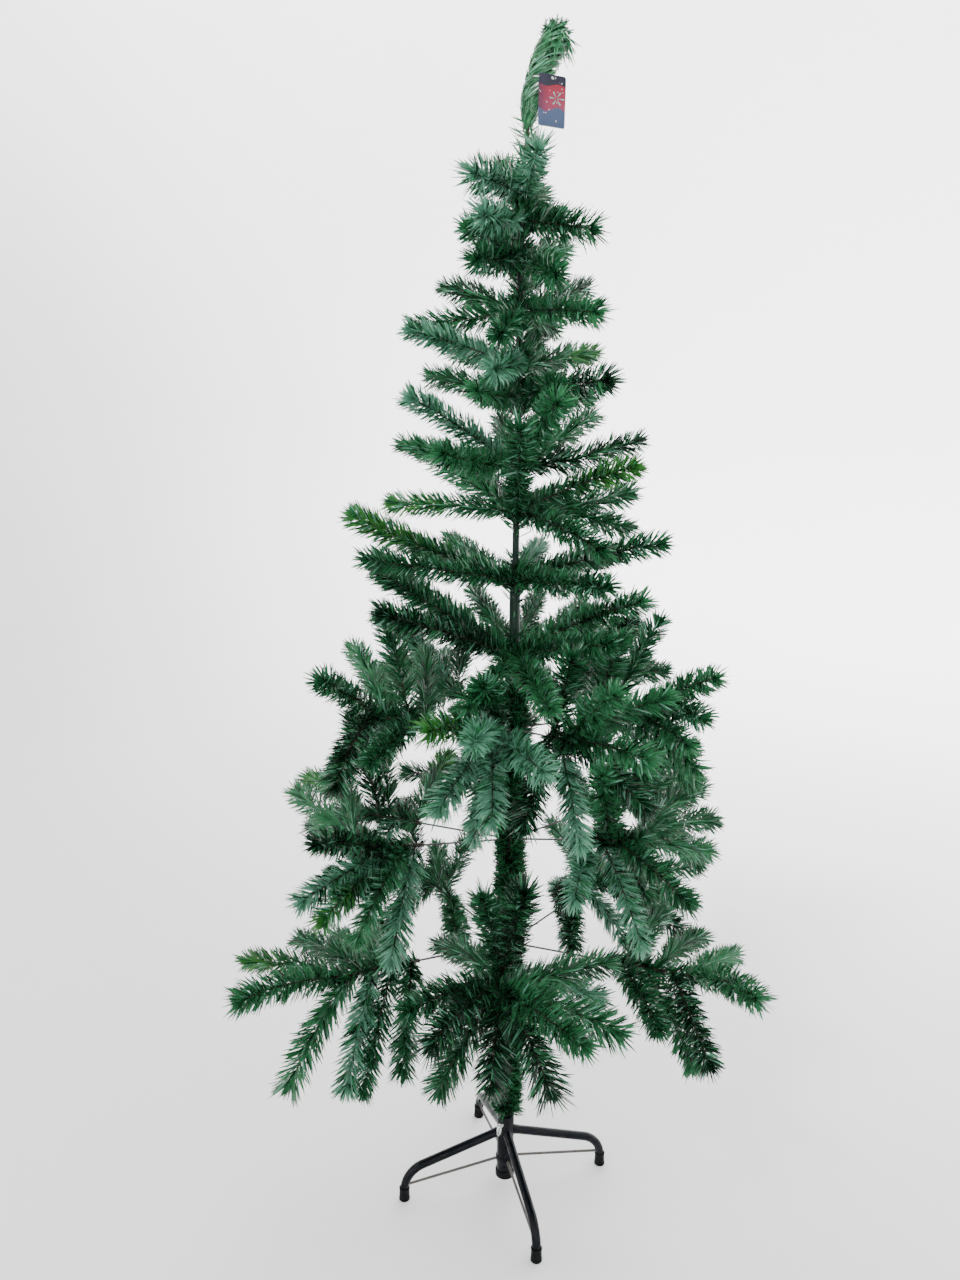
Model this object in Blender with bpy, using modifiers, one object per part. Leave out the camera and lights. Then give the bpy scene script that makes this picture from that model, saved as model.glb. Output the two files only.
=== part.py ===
"""Artificial christmas tree, 1.8 m tall, on a folding four-legged steel stand.

A painted steel pole stands in the stand's socket. Its lower half carries three tiers of
boughs: bare steel rods that hook on collars of the pole, each ending in a fan of needled
tips. Its upper half carries whorls of single tips bound straight on the pole, and a
leader stands on its top. Each tip is a slim twisted core with needles raised from it.
"""
import math
import random

import bmesh
import bpy
import numpy as np
from mathutils import Matrix, Vector

# Clearance between pieces that touch, and what a needle keeps from another piece.
GAP = 0.0003
NEEDLE_CLEARANCE = 0.0006

# Stand: a socket tube on four bent legs, each with a foot cap and a stay rod.
SOCKET_RADIUS = 0.014
SOCKET_WALL = 0.0016
SOCKET_FOOT = 0.0155
SOCKET_TOP = 0.125
SOCKET_LIP = 0.018
SOCKET_STEPS = 16
BAND_RADIUS = 0.0156
BAND_HEIGHT = 0.008
SOCKET_CAP_FOOT = 0.013
SOCKET_CAP_TOP = 0.025
SOCKET_CAP_WALL = 0.0014
FOOT_CIRCLE = 0.171
FOOT_AZIMUTHS = {"left": 197, "front": 287, "right": 17, "back": 107}
LEG_RADIUS = 0.007
LEG_TOP = 0.094
LEG_FALL = math.radians(16)
LEG_BEND = 0.035
BEND_STEPS = 6
LEG_END = 0.006
FOOT_CAP_RADIUS = 0.0088
FOOT_CAP_HEIGHT = 0.022
STAY_RADIUS = 0.0015
STAY_FOOT = 0.0262
STAY_TOP = 0.046
SCREW_AZIMUTH = math.radians(-112)
SCREW_HEIGHT = 0.113
SCREW_RADIUS = 0.002
SCREW_REACH = 0.022
SCREW_SIDES = 12
SCREW_EYE = 0.0062
SCREW_EYE_WIRE = 0.0016
EYE_STEPS = 16
EYE_SIDES = 8
HOLE_DEPTH = 0.030
HOLE_CENTRE = 0.019

# Pole: a lower tube with bough collars, and a slimmer upper tube set in its top.
POLE_STEPS = 12
POLE_RADIUS = 0.00825
POLE_BORE = 0.0069
POLE_JOINT = 1.030
POLE_TENON = 0.040
UPPER_RADIUS = 0.00525
UPPER_TOP = 1.598
COLLAR_RADIUS = 0.0115
COLLAR_HEIGHT = 0.014
RING_WALL = 0.0042
RING_HALF_HEIGHT = 0.008
ROOT_INSET = 0.0004

# Boughs and tips.
ROD_RADIUS = 0.0015
STEM_RADIUS = 0.0045
CORE_ROOT_RADIUS = 0.0028
CORE_RADIUS = 0.0042
CORE_TIP_RADIUS = 0.0018
SEGMENT = 0.045
SEGMENT_TWIST = math.radians(24)
NEEDLE_OUT = 0.0255
NEEDLE_FORWARD = 0.021
TIP_END_NEEDLE = 0.020
END_SHARES = (0.25, 0.5, 0.75, 1.0)
NEEDLE_SAMPLES = (0.1, 0.25, 0.4, 0.6, 0.8, 1.0)
NEEDLE_WIDTHS = (0.009, 0.0075, 0.006, 0.004, 0.002, 0.0005)
TIP_BOW = 0.045
WHORL_BOW = 0.004
BOW_SPREAD = 0.03
SAMPLE_STEP = 0.006
ROOT_SAMPLES = 3
TIP_SPACING = 0.012
NUDGE = 4
NUDGE_TRIES = 14
NUDGE_SHARES = ((0.0, 1.0), (1.0, 0.4))

# Tinsel strand wound round the pole up past the high tier: (height, azimuth) knots.
# It runs straight up past each collar, between two of the boughs.
STRAND_RADIUS = 0.003
STRAND_KNOTS = ((0.131, 60), (0.417, -57 + 360 * 7), (0.443, -57 + 360 * 7),
                (0.592, -92 + 360 * 11), (0.618, -92 + 360 * 11), (0.772, 12 + 360 * 15),
                (0.798, 12 + 360 * 15), (0.850, 12 + 360 * 16))
STRAND_SIDES = 6
STRAND_NEEDLE_OUT = 0.019
STRAND_NEEDLE_UP = 0.012
STRAND_FINE = 4000

# Leader: the route of its stem as (distance right of the pole's axis, height).
LEADER_ROUTE = ((0.000, 1.5992), (0.005, 1.630), (0.007, 1.662), (0.011, 1.692), (0.021, 1.718),
                (0.030, 1.742), (0.039, 1.763), (0.044, 1.782))
LEADER_CORE = 0.0055
LEADER_STEPS = 40
LEADER_NEEDLE_OUT = 0.019
LEADER_NEEDLE_FORWARD = 0.015

# Hang tag: a card on a cord looped round the leader.
TAG_SIZE = (0.038, 0.0010, 0.070)
TAG_CENTRE = (0.0385, -0.034, 1.682)
TAG_TURN = math.radians(24)
TAG_CORD = 0.0007
TAG_EYELET_DROP = 0.004
TAG_GRID = (7, 13)
TAG_ROOM = 0.0038
TAG_LOOP_KNOT = 4
LOOP_SPREAD = 0.0145
LOOP_STEPS = 24
LOOP_ROOM = 0.006
LOOP_SHARES = (0.0, 0.25, 0.5, 0.75)

# Boughs: tier and side, height, azimuth, rise, rod to the first tip, rod to the last tip,
# tip length, and the (azimuth, rise) of each tip in degrees. None stands for a fan that
# opens evenly round the rod.
BOUGHS = (
    ("low_left", 0.430, -145, 5, 0.17, 0.31, 0.165,
     ((-89, -34), (117, -11), (-101, -42), (126, -7), (-100, -43), (136, -5), (-128, -43),
      (160, -4), (-127, 13))),
    ("low_front", 0.430, -93, 10, 0.15, 0.235, 0.165,
     ((-112, 63), (-68, 65), (128, -10), (19, -19), (-133, 9), (-119, 0), (-124, -31),
      (-94, -27), (-66, -18), (-52, 2), (-26, -3), (24, 4))),
    ("low_right", 0.430, -22, 2, 0.17, 0.31, 0.165,
     ((-76, -3), (63, 11), (-70, -24), (56, -5), (-81, -14), (51, -11), (-75, 20))),
    ("low_back_right", 0.430, 48, 8, 0.14, 0.27, 0.160,
     ((-90, 0), (-99, 25), (100, -19), (73, -3), (-35, -42), (112, 20), (-13, -4), (-22, -24),
      (0, 8), (45, 12))),
    ("low_back_left", 0.430, 132, 8, 0.15, 0.28, 0.160,
     ((-81, -4), (70, 24), (96, 5), (-150, -30), (114, -20), (170, -14), (-165, 4), (100, 30),
      (135, 5))),
    ("middle_left", 0.605, -142, 9, 0.17, 0.28, 0.160,
     ((-101, -46), (-111, -28), (-123, -18), (-128, -9), (-114, 21), (132, -7), (138, 14),
      (109, 24))),
    ("middle_right", 0.605, -42, 15, 0.15, 0.25, 0.160,
     ((-100, -6), (-56, 52), (-70, -36), (-102, 50), (-58, -12), (33, -16), (37, -1), (49, 13))),
    ("middle_back_right", 0.605, 28, 10, 0.14, 0.25, 0.160,
     ((99, 6), (-62, -35), (75, 12), (-10, 40), (-24, -33), (48, -12), (42, -2))),
    ("middle_back_left", 0.605, 170, 5, 0.15, 0.25, 0.160,
     ((75, 24), (100, -14), (-120, -32), (103, 60), (158, 72), (140, -22), (134, 6))),
    ("middle_back", 0.605, 100, 8, 0.14, 0.26, 0.160, None),
    ("high_left", 0.785, -152, 10, 0.14, 0.24, 0.150,
     ((95, 31), (-107, -7), (-158, 76), (114, 11), (150, -40), (120, 32), (-116, 31),
      (-100, -22))),
    ("high_front", 0.785, -101, 10, 0.11, 0.17, 0.150,
     ((-98, 38), (-122, 14), (-118, -24), (-103, -50), (-88, -28), (-64, -2), (-96, 12))),
    ("high_front_right", 0.785, -64, 8, 0.12, 0.19, 0.150,
     ((-108, -36), (-77, 59), (-76, -46), (-42, -24), (-49, 3), (-65, 37), (-20, 30))),
    ("high_right", 0.785, -28, 15, 0.13, 0.23, 0.150,
     ((-72, 56), (-14, -32), (22, 61), (-50, -18), (-66, -4), (-66, 10), (-60, 28))),
    ("high_back_right", 0.785, 52, 12, 0.13, 0.24, 0.150, None),
    ("high_back_left", 0.785, 128, 12, 0.13, 0.24, 0.150, None),
)
FAN_COUNT = 8
FAN_SPREAD = 62
FAN_TURN = 137.5
FAN_CLOSING = 0.8

# Whorls on the pole: name, then for each height its tip length and tip headings.
WHORLS = (
    ("whorl_1", ((0.905, 0.240, ((-176, 37), (-152, 32), (-137, 19), (107, 16), (81, 14),
                                 (62, 11), (-46, 24), (-60, 12), (-104, -8), (-80, -6),
                                 (138, 6), (45, 2))),)),
    ("whorl_2", ((1.018, 0.235, ((-162, 22), (-146, 9), (119, 12), (-36, 16), (-61, 3), (80, 9),
                                 (48, 6), (140, 12), (62, -6))),)),
    ("whorl_3", ((1.120, 0.200, ((161, 2), (150, 29), (-89, 32), (110, 20), (-36, 19), (32, 8),
                                 (30, -8), (-57, -13), (72, 4))),
                 (1.185, 0.190, ((-140, 26), (-120, 4), (26, 12), (-75, 23), (50, 26), (98, 24),
                                 (150, 10))))),
    ("whorl_4", ((1.281, 0.160, ((144, 15), (-50, 5), (-108, -1), (-73, 1), (72, 21),
                                 (112, 8), (50, 6))),)),
    ("whorl_5", ((1.331, 0.155, ((-150, 12), (47, 12), (130, 14), (78, 26), (-101, -10),
                                 (100, 4))),)),
    ("whorl_6", ((1.405, 0.145, ((-176, -9), (141, 21), (-51, -8), (49, 21), (-100, -21),
                                 (92, 14), (70, 0))),)),
    ("whorl_7", ((1.474, 0.118, ((-124, 10), (-118, -10), (-67, -20), (60, 20), (112, 24),
                                 (85, 2))),)),
    ("whorl_8", ((1.529, 0.116, ((-38, -14), (-114, -10), (63, 17), (110, 6))),
                 (1.565, 0.100, ((-125, 0), (110, 36), (75, 14), (-80, 14))))),
)


def material(name, colour, roughness, metallic=0.0):
    """One Principled material with the part's own colour and finish."""
    made = bpy.data.materials.new(name)
    made.use_nodes = True
    shader = made.node_tree.nodes["Principled BSDF"]
    shader.inputs["Base Color"].default_value = (*colour, 1.0)
    shader.inputs["Roughness"].default_value = roughness
    shader.inputs["Metallic"].default_value = metallic
    made.diffuse_color = (*colour, 1.0)
    return made


def collection(name):
    made = bpy.data.collections.new(name)
    bpy.context.scene.collection.children.link(made)
    return made


def add_object(name, data, home, finish=None):
    """An object of the mesh or curve in its collection, with its own material."""
    made = bpy.data.objects.new(name, data)
    home.objects.link(made)
    if finish:
        data.materials.append(material(name, *finish))
    return made


def turned(name, profile, steps, home, finish, closed=False):
    """A turned body: the (radius, height) profile swept round the Z axis."""
    count = len(profile)
    edges = [(i, i + 1) for i in range(count - 1)]
    if closed:
        edges.append((count - 1, 0))
    mesh = bpy.data.meshes.new(name)
    mesh.from_pydata([(radius, 0.0, height) for radius, height in profile], edges, [])
    made = add_object(name, mesh, home, finish)
    screw = made.modifiers.new("turn", "SCREW")
    screw.steps = steps
    screw.render_steps = steps
    screw.use_merge_vertices = True
    screw.merge_threshold = 0.00005
    screw.use_smooth_shade = True
    return made


def tube(name, route, radius, home, finish, resolution=2, cyclic=False):
    """A round wire or tube along the route's points, with filled ends."""
    curve = bpy.data.curves.new(name, "CURVE")
    curve.dimensions = "3D"
    curve.bevel_depth = radius
    curve.bevel_resolution = resolution
    curve.use_fill_caps = True
    spline = curve.splines.new("POLY")
    spline.points.add(len(route) - 1)
    for point, place in zip(spline.points, route):
        point.co = (*place, 1.0)
    spline.use_cyclic_u = cyclic
    return add_object(name, curve, home, finish)


def as_mesh(source, home):
    """The curve object remade as a mesh object, with its caps welded."""
    evaluated = source.evaluated_get(bpy.context.evaluated_depsgraph_get())
    mesh = bpy.data.meshes.new_from_object(evaluated)
    shell = bmesh.new()
    shell.from_mesh(mesh)
    bmesh.ops.remove_doubles(shell, verts=shell.verts, dist=0.00001)
    shell.to_mesh(mesh)
    shell.free()
    name = source.name
    place = source.matrix_world.copy()
    bpy.data.objects.remove(source)
    made = bpy.data.objects.new(name, mesh)
    made.matrix_world = place
    home.objects.link(made)
    return made


def fuse(base, pieces, solver="MANIFOLD"):
    """One closed body from the base and the collection's pieces, which are then removed."""
    union = base.modifiers.new("fuse", "BOOLEAN")
    union.operation = "UNION"
    union.operand_type = "COLLECTION"
    union.collection = pieces
    union.solver = solver
    evaluated = base.evaluated_get(bpy.context.evaluated_depsgraph_get())
    mesh = bpy.data.meshes.new_from_object(evaluated)
    base.modifiers.clear()
    base.data = mesh
    for piece in list(pieces.objects):
        bpy.data.objects.remove(piece)
    bpy.data.collections.remove(pieces)
    keep_outer_shell(mesh)


def keep_outer_shell(mesh):
    """Drop loose scraps and the inner shells of sealed hollows: the largest shell stays."""
    shell = bmesh.new()
    shell.from_mesh(mesh)
    unseen = set(shell.verts)
    shells = []
    while unseen:
        queue = [unseen.pop()]
        found = list(queue)
        while queue:
            for edge in queue.pop().link_edges:
                for vert in edge.verts:
                    if vert in unseen:
                        unseen.discard(vert)
                        queue.append(vert)
                        found.append(vert)
        shells.append(found)
    shells.sort(key=len)
    for scrap in shells[:-1]:
        bmesh.ops.delete(shell, geom=scrap, context="VERTS")
    bmesh.ops.dissolve_degenerate(shell, dist=0.000001, edges=shell.edges)
    shell.to_mesh(mesh)
    shell.free()


def heading(azimuth, rise):
    """Unit vector at an azimuth from +X and a rise above level, in degrees."""
    turn, lift = math.radians(azimuth), math.radians(rise)
    return Vector((math.cos(turn) * math.cos(lift), math.sin(turn) * math.cos(lift),
                   math.sin(lift)))


def round_the_pole(azimuth, radius, height):
    """A point at a radius and height on the side of the pole that the azimuth names."""
    turn = math.radians(azimuth)
    return Vector((radius * math.cos(turn), radius * math.sin(turn), height))


def fan(azimuth, rise):
    """Headings that open evenly round a rod, widest at the first and straight at the last."""
    rows = []
    for index in range(FAN_COUNT):
        spread = FAN_SPREAD * (1 - FAN_CLOSING * index / (FAN_COUNT - 1))
        turn = math.radians(FAN_TURN * index)
        rows.append((azimuth + spread * math.cos(turn), rise + spread * math.sin(turn)))
    return tuple(rows)


def centreline(root, direction, length, bow, count):
    """Points of a tip that runs from its root along a heading, bowed up or down midway."""
    along = np.linspace(0.0, 1.0, count)[:, None]
    rise = 4.0 * along * (1.0 - along) * bow * length
    return np.array(root) + along * length * np.array(direction) + rise * np.array((0, 0, 1.0))


def tip_samples(root, direction, length, bow):
    """Points along a tip's centreline and on to the point of its end needle."""
    line = centreline(root, direction, length, bow, int(length / SAMPLE_STEP) + 1)
    onward = line[-1] - line[-2]
    onward /= np.linalg.norm(onward)
    ends = np.array(END_SHARES)[:, None] * TIP_END_NEEDLE
    return np.vstack((line, line[-1] + ends * onward))


class Space:
    """The room already taken: sample balls along every piece, each with its owner's name."""

    def __init__(self):
        self.balls = np.empty((0, 4))
        self.owners = np.empty(0, dtype=object)
        self.tips = np.empty(0, dtype=int)

    def take(self, owner, points, radius, tip=0):
        radii = np.broadcast_to(np.asarray(radius, dtype=float), (len(points),))
        self.balls = np.vstack((self.balls, np.column_stack((points, radii))))
        self.owners = np.append(self.owners, [owner] * len(points))
        self.tips = np.append(self.tips, [tip] * len(points))

    def room(self, owner, points, radius, tip=None):
        """The least distance left to any other owner's balls, or to any other tip's."""
        apart = self.owners != owner
        if tip is not None:
            apart |= self.tips != tip
        others = self.balls[apart]
        between = np.linalg.norm(np.asarray(points)[:, None] - others[None, :, :3], axis=2)
        between -= others[None, :, 3] + np.asarray(radius, dtype=float).reshape(-1, 1)
        return float(between.min())


def clear_heading(space, owner, root, azimuth, rise, length, bow):
    """Turn a tip by small steps, up and aside, until it runs clear of its neighbours."""
    for step in range(NUDGE_TRIES):
        swing = NUDGE * ((step + 1) // 2) * (1 if step % 2 else -1)
        for azimuth_share, rise_share in NUDGE_SHARES:
            turned_to = heading(azimuth + swing * azimuth_share, rise + swing * rise_share)
            outer = tip_samples(root, turned_to, length, bow)[ROOT_SAMPLES:]
            if space.room(owner, outer, CORE_RADIUS) > TIP_SPACING - 2 * CORE_RADIUS:
                return turned_to
    return heading(azimuth, rise)


def needled_core(name, line, radii, needle, end_needle, space, owner, tip, home, twist_start):
    """A three-sided core along the line, with a needle raised from each of its side faces.

    needle is how far a needle's point stands out from its face and how far forward. The
    first stretch, at the root, stays bare, and so does a face whose needle would come too
    near another tip or piece.
    """
    shell = bmesh.new()
    steps = [Vector(step).normalized() for step in np.gradient(line, axis=0)]
    facing = steps[0].to_track_quat("Z", "Y").to_matrix().to_4x4()
    start = Matrix.Translation(Vector(line[0])) @ facing @ Matrix.Rotation(twist_start, 4, "Z")
    bmesh.ops.create_circle(shell, cap_ends=True, segments=3, radius=radii[0], matrix=start)
    cap = shell.faces[:][0]
    sides = []
    for index in range(1, len(line)):
        grown = bmesh.ops.extrude_face_region(shell, geom=[cap])["geom"]
        if index > 1:
            bmesh.ops.delete(shell, geom=[cap], context="FACES_ONLY")
        cap = [item for item in grown if isinstance(item, bmesh.types.BMFace)][0]
        ring = [item for item in grown if isinstance(item, bmesh.types.BMVert)]
        bend = steps[index - 1].rotation_difference(steps[index]).to_matrix().to_4x4()
        twist = Matrix.Rotation(SEGMENT_TWIST, 4, steps[index - 1])
        size = Matrix.Scale(radii[index] / radii[index - 1], 4)
        back = Matrix.Translation(-Vector(line[index - 1]))
        move = Matrix.Translation(Vector(line[index])) @ bend @ twist @ size @ back
        bmesh.ops.transform(shell, matrix=move, verts=ring)
        if index > 1:
            sides += [(face, index) for face in set(ring[0].link_faces) | set(ring[1].link_faces)
                      if face is not cap]
    out, forward = needle
    for face, index in sides:
        middle = face.calc_center_median()
        along = steps[index]
        outward = middle - Vector((line[index - 1] + line[index]) / 2)
        outward -= along * outward.dot(along)
        point = middle + outward.normalized() * out + along * forward
        samples = [middle.lerp(point, share) for share in NEEDLE_SAMPLES]
        if space.room(owner, samples, NEEDLE_WIDTHS, tip) > NEEDLE_CLEARANCE:
            bmesh.ops.poke(shell, faces=[face])["verts"][0].co = point
            space.take(owner, samples, NEEDLE_WIDTHS, tip)
    end = bmesh.ops.poke(shell, faces=[cap])["verts"][0]
    end.co = Vector(line[-1]) + steps[-1] * end_needle
    bmesh.ops.recalc_face_normals(shell, faces=shell.faces)
    mesh = bpy.data.meshes.new(name)
    shell.to_mesh(mesh)
    shell.free()
    made = bpy.data.objects.new(name, mesh)
    home.objects.link(made)
    return made


def tip_radii(count):
    """A core is slim at its root, thickest at its first knot and tapers to its end."""
    return np.append(CORE_ROOT_RADIUS, np.linspace(CORE_RADIUS, CORE_TIP_RADIUS, count - 1))


def plan_tips(name, roots, headings, length, mid_bow, space, before=0):
    """Settle the course of a mass's tips, each from its own root, clear of other pieces."""
    chance = random.Random(name + str(before))
    planned = []
    for tip, (root, (azimuth, rise)) in enumerate(zip(roots, headings), start=before + 1):
        bow = mid_bow + chance.uniform(-BOW_SPREAD, BOW_SPREAD)
        reach = length * chance.uniform(0.95, 1.05)
        twist = chance.uniform(0, 2 * math.pi)
        direction = clear_heading(space, name, root, azimuth, rise, reach, bow)
        space.take(name, tip_samples(root, direction, reach, bow), CORE_RADIUS, tip)
        count = max(4, round(reach / SEGMENT) + 1)
        planned.append((tip, centreline(root, direction, reach, bow, count), twist))
    return planned


def grow_tips(name, planned, space, home):
    """The needled cores of one mass's tips along their settled courses."""
    for tip, line, twist in planned:
        needled_core("tip", line, tip_radii(len(line)), (NEEDLE_OUT, NEEDLE_FORWARD),
                     TIP_END_NEEDLE, space, name, tip, home, twist)


PLASTIC_BLACK = ((0.012, 0.012, 0.013), 0.55)
GLOSS_BLACK = ((0.010, 0.012, 0.018), 0.22)
ROD_STEEL = ((0.16, 0.17, 0.17), 0.35, 0.9)
SCREW_STEEL = ((0.55, 0.55, 0.56), 0.28, 1.0)
POLE_GREEN = ((0.010, 0.030, 0.020), 0.40)
NEEDLE_GREEN = ((0.016, 0.085, 0.036), 0.50)
TAG_CARD = ((0.42, 0.06, 0.08), 0.35)


def socket(home, cutters):
    """The stand's tube: a lip at each end guides the pole, and a band takes the stays."""
    bore = POLE_RADIUS + GAP
    inner = SOCKET_RADIUS - SOCKET_WALL
    band = STAY_TOP - BAND_HEIGHT / 2
    outline = ((SOCKET_RADIUS, SOCKET_TOP), (SOCKET_RADIUS, band + BAND_HEIGHT),
               (BAND_RADIUS, band + BAND_HEIGHT), (BAND_RADIUS, band), (SOCKET_RADIUS, band),
               (SOCKET_RADIUS, SOCKET_FOOT), (bore, SOCKET_FOOT),
               (bore, SOCKET_FOOT + SOCKET_LIP), (inner, SOCKET_FOOT + SOCKET_LIP),
               (inner, SOCKET_TOP - SOCKET_LIP), (bore, SOCKET_TOP - SOCKET_LIP),
               (bore, SOCKET_TOP))
    made = turned("socket_tube", outline, SOCKET_STEPS, home, GLOSS_BLACK, closed=True)
    bpy.ops.mesh.primitive_cylinder_add(vertices=SCREW_SIDES, radius=SCREW_RADIUS + GAP,
                                        depth=HOLE_DEPTH)
    cutter = bpy.context.object
    cutter.name = "screw_hole_cutter"
    cutter.matrix_world = screw_place(HOLE_CENTRE)
    cutter.users_collection[0].objects.unlink(cutter)
    cutters.objects.link(cutter)
    cutter.hide_render = True
    cutter.display_type = "WIRE"
    hole = made.modifiers.new("screw_hole", "BOOLEAN")
    hole.operation = "DIFFERENCE"
    hole.object = cutter


def screw_place(distance):
    """A matrix whose Z runs outward through the thumb screw, at a distance from the axis."""
    direction = Vector((math.cos(SCREW_AZIMUTH), math.sin(SCREW_AZIMUTH), 0.0))
    place = direction * distance + Vector((0, 0, SCREW_HEIGHT))
    return Matrix.Translation(place) @ direction.to_track_quat("Z", "Y").to_matrix().to_4x4()


def thumb_screw(home):
    """A bolt through the socket's wall to the pole, bent to an upright eye for the fingers."""
    start = POLE_RADIUS + GAP
    bpy.ops.mesh.primitive_cylinder_add(vertices=SCREW_SIDES, radius=SCREW_RADIUS,
                                        depth=SCREW_REACH - start)
    shank = bpy.context.object
    shank.name = "thumb_screw"
    shank.matrix_world = screw_place((SCREW_REACH + start) / 2)
    shank.users_collection[0].objects.unlink(shank)
    home.objects.link(shank)
    shank.data.materials.append(material("thumb_screw", *SCREW_STEEL))
    pieces = collection("screw_pieces")
    bpy.ops.mesh.primitive_torus_add(major_segments=EYE_STEPS, minor_segments=EYE_SIDES,
                                     major_radius=SCREW_EYE, minor_radius=SCREW_EYE_WIRE)
    eye = bpy.context.object
    eye.matrix_world = screw_place(SCREW_REACH + SCREW_EYE - SCREW_EYE_WIRE / 2) @ \
        Matrix.Rotation(math.radians(90), 4, "X")
    eye.users_collection[0].objects.unlink(eye)
    pieces.objects.link(eye)
    bpy.context.view_layer.update()
    fuse(shank, pieces, "EXACT")


def socket_cap(home):
    """The plastic cap under the tube: a cup that the tube's foot stands in."""
    outer = SOCKET_RADIUS + GAP + SOCKET_CAP_WALL
    inner = SOCKET_RADIUS + GAP
    floor = SOCKET_FOOT - GAP
    outline = ((0, floor), (inner, floor), (inner, SOCKET_CAP_TOP), (outer, SOCKET_CAP_TOP),
               (outer, SOCKET_CAP_FOOT), (0, SOCKET_CAP_FOOT))
    turned("socket_cap", outline, SOCKET_STEPS, home, PLASTIC_BLACK)


def leg_route(azimuth):
    """Down a gentle straight fall from the tube, round the bend and upright into the foot."""
    bend_out = FOOT_CIRCLE - LEG_BEND * (1 - math.sin(LEG_FALL))
    bend_top = LEG_TOP - (bend_out - SOCKET_RADIUS) * math.tan(LEG_FALL)
    start = SOCKET_RADIUS + GAP + LEG_RADIUS * math.sin(LEG_FALL)
    flat = [(start, LEG_TOP - (start - SOCKET_RADIUS) * math.tan(LEG_FALL)), (bend_out, bend_top)]
    for step in range(1, BEND_STEPS + 1):
        angle = LEG_FALL + (math.pi / 2 - LEG_FALL) * step / BEND_STEPS
        flat.append((bend_out + LEG_BEND * (math.sin(angle) - math.sin(LEG_FALL)),
                     bend_top - LEG_BEND * (math.cos(LEG_FALL) - math.cos(angle))))
    flat.append((FOOT_CIRCLE, LEG_END))
    return [round_the_pole(azimuth, radius, height) for radius, height in flat]


def leg(side, azimuth, home):
    """One leg with its foot cap and the stay rod that braces it to the socket's band."""
    route = leg_route(azimuth)
    tube("leg_" + side, route, LEG_RADIUS, home, GLOSS_BLACK, resolution=3)
    foot = round_the_pole(azimuth, FOOT_CIRCLE, 0.0)
    bore = LEG_RADIUS + GAP
    outline = ((0, LEG_END - GAP), (bore, LEG_END - GAP), (bore, FOOT_CAP_HEIGHT),
               (FOOT_CAP_RADIUS, FOOT_CAP_HEIGHT), (FOOT_CAP_RADIUS, 0), (0, 0))
    cap = turned("foot_cap_" + side, outline, SOCKET_STEPS, home, PLASTIC_BLACK)
    cap.location = foot
    inner = round_the_pole(azimuth, BAND_RADIUS + GAP, STAY_TOP)
    outer = round_the_pole(azimuth, FOOT_CIRCLE - LEG_RADIUS - 2 * GAP, STAY_FOOT)
    tube("stay_" + side, (inner, outer), STAY_RADIUS, home, ROD_STEEL)


def pole(home, space):
    """The lower pole with a collar for each tier, and the upper pole in its narrowed top."""
    outline = [(POLE_RADIUS, POLE_JOINT)]
    for height in sorted({row[1] for row in BOUGHS}, reverse=True):
        top, foot = height + COLLAR_HEIGHT / 2, height - COLLAR_HEIGHT / 2
        outline += [(POLE_RADIUS, top), (COLLAR_RADIUS, top), (COLLAR_RADIUS, foot),
                    (POLE_RADIUS, foot)]
        space.take("pole", [(0, 0, foot), (0, 0, height), (0, 0, top)], COLLAR_RADIUS)
    narrow = UPPER_RADIUS + GAP
    outline += [(POLE_RADIUS, SOCKET_FOOT), (POLE_BORE, SOCKET_FOOT),
                (POLE_BORE, POLE_JOINT - POLE_TENON), (narrow, POLE_JOINT - POLE_TENON),
                (narrow, POLE_JOINT)]
    turned("pole_lower", outline, POLE_STEPS, home, POLE_GREEN, closed=True)
    foot = POLE_JOINT - POLE_TENON
    turned("pole_upper", ((0, UPPER_TOP), (UPPER_RADIUS, UPPER_TOP), (UPPER_RADIUS, foot),
                          (0, foot)), POLE_STEPS, home, POLE_GREEN)
    for low, high, radius in ((0.0, POLE_JOINT, POLE_RADIUS), (POLE_JOINT, UPPER_TOP, UPPER_RADIUS)):
        heights = np.arange(low, high, SAMPLE_STEP)
        space.take("pole", [(0, 0, height) for height in heights], radius)


def bough_rod(side, height, azimuth, rise, bare, home, space):
    """The bare steel rod of a bough, hooked on the collar and ending at the foliage."""
    direction = heading(azimuth, rise)
    hub = Vector((0, 0, height))
    lean = math.tan(math.radians(abs(rise))) * ROD_RADIUS
    start = (COLLAR_RADIUS + GAP + lean) / math.cos(math.radians(rise))
    ends = (hub + direction * start, hub + direction * (bare - GAP))
    tube("bough_rod_" + side, ends, ROD_RADIUS, home, ROD_STEEL)
    count = int(bare / SAMPLE_STEP) + 1
    space.take("rod_" + side, [ends[0].lerp(ends[1], i / count) for i in range(count)], ROD_RADIUS)


def plan_bough(side, height, azimuth, rise, bare, reach, length, headings, space):
    """Tips from even stations along the stem that carries on from a bough's rod."""
    name = "bough_foliage_" + side
    headings = headings or fan(azimuth, rise)
    stations = np.linspace(bare + CORE_RADIUS + STEM_RADIUS, reach - STEM_RADIUS, len(headings))
    roots = [Vector((0, 0, height)) + heading(azimuth, rise) * float(s) for s in stations]
    space.take(name, roots, STEM_RADIUS)
    return plan_tips(name, roots, headings, length, TIP_BOW, space)


def bough_foliage(side, height, azimuth, rise, bare, reach, planned, home, space):
    """A bough's foliage: its stem with the tips that stand along it."""
    name = "bough_foliage_" + side
    direction = heading(azimuth, rise)
    hub = Vector((0, 0, height))
    stem = as_mesh(tube(name, (hub + direction * bare, hub + direction * reach), STEM_RADIUS,
                        home, None, resolution=0), home)
    stem.data.materials.append(material(name, *NEEDLE_GREEN))
    pieces = collection("pieces")
    grow_tips(name, planned, space, pieces)
    fuse(stem, pieces)


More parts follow.
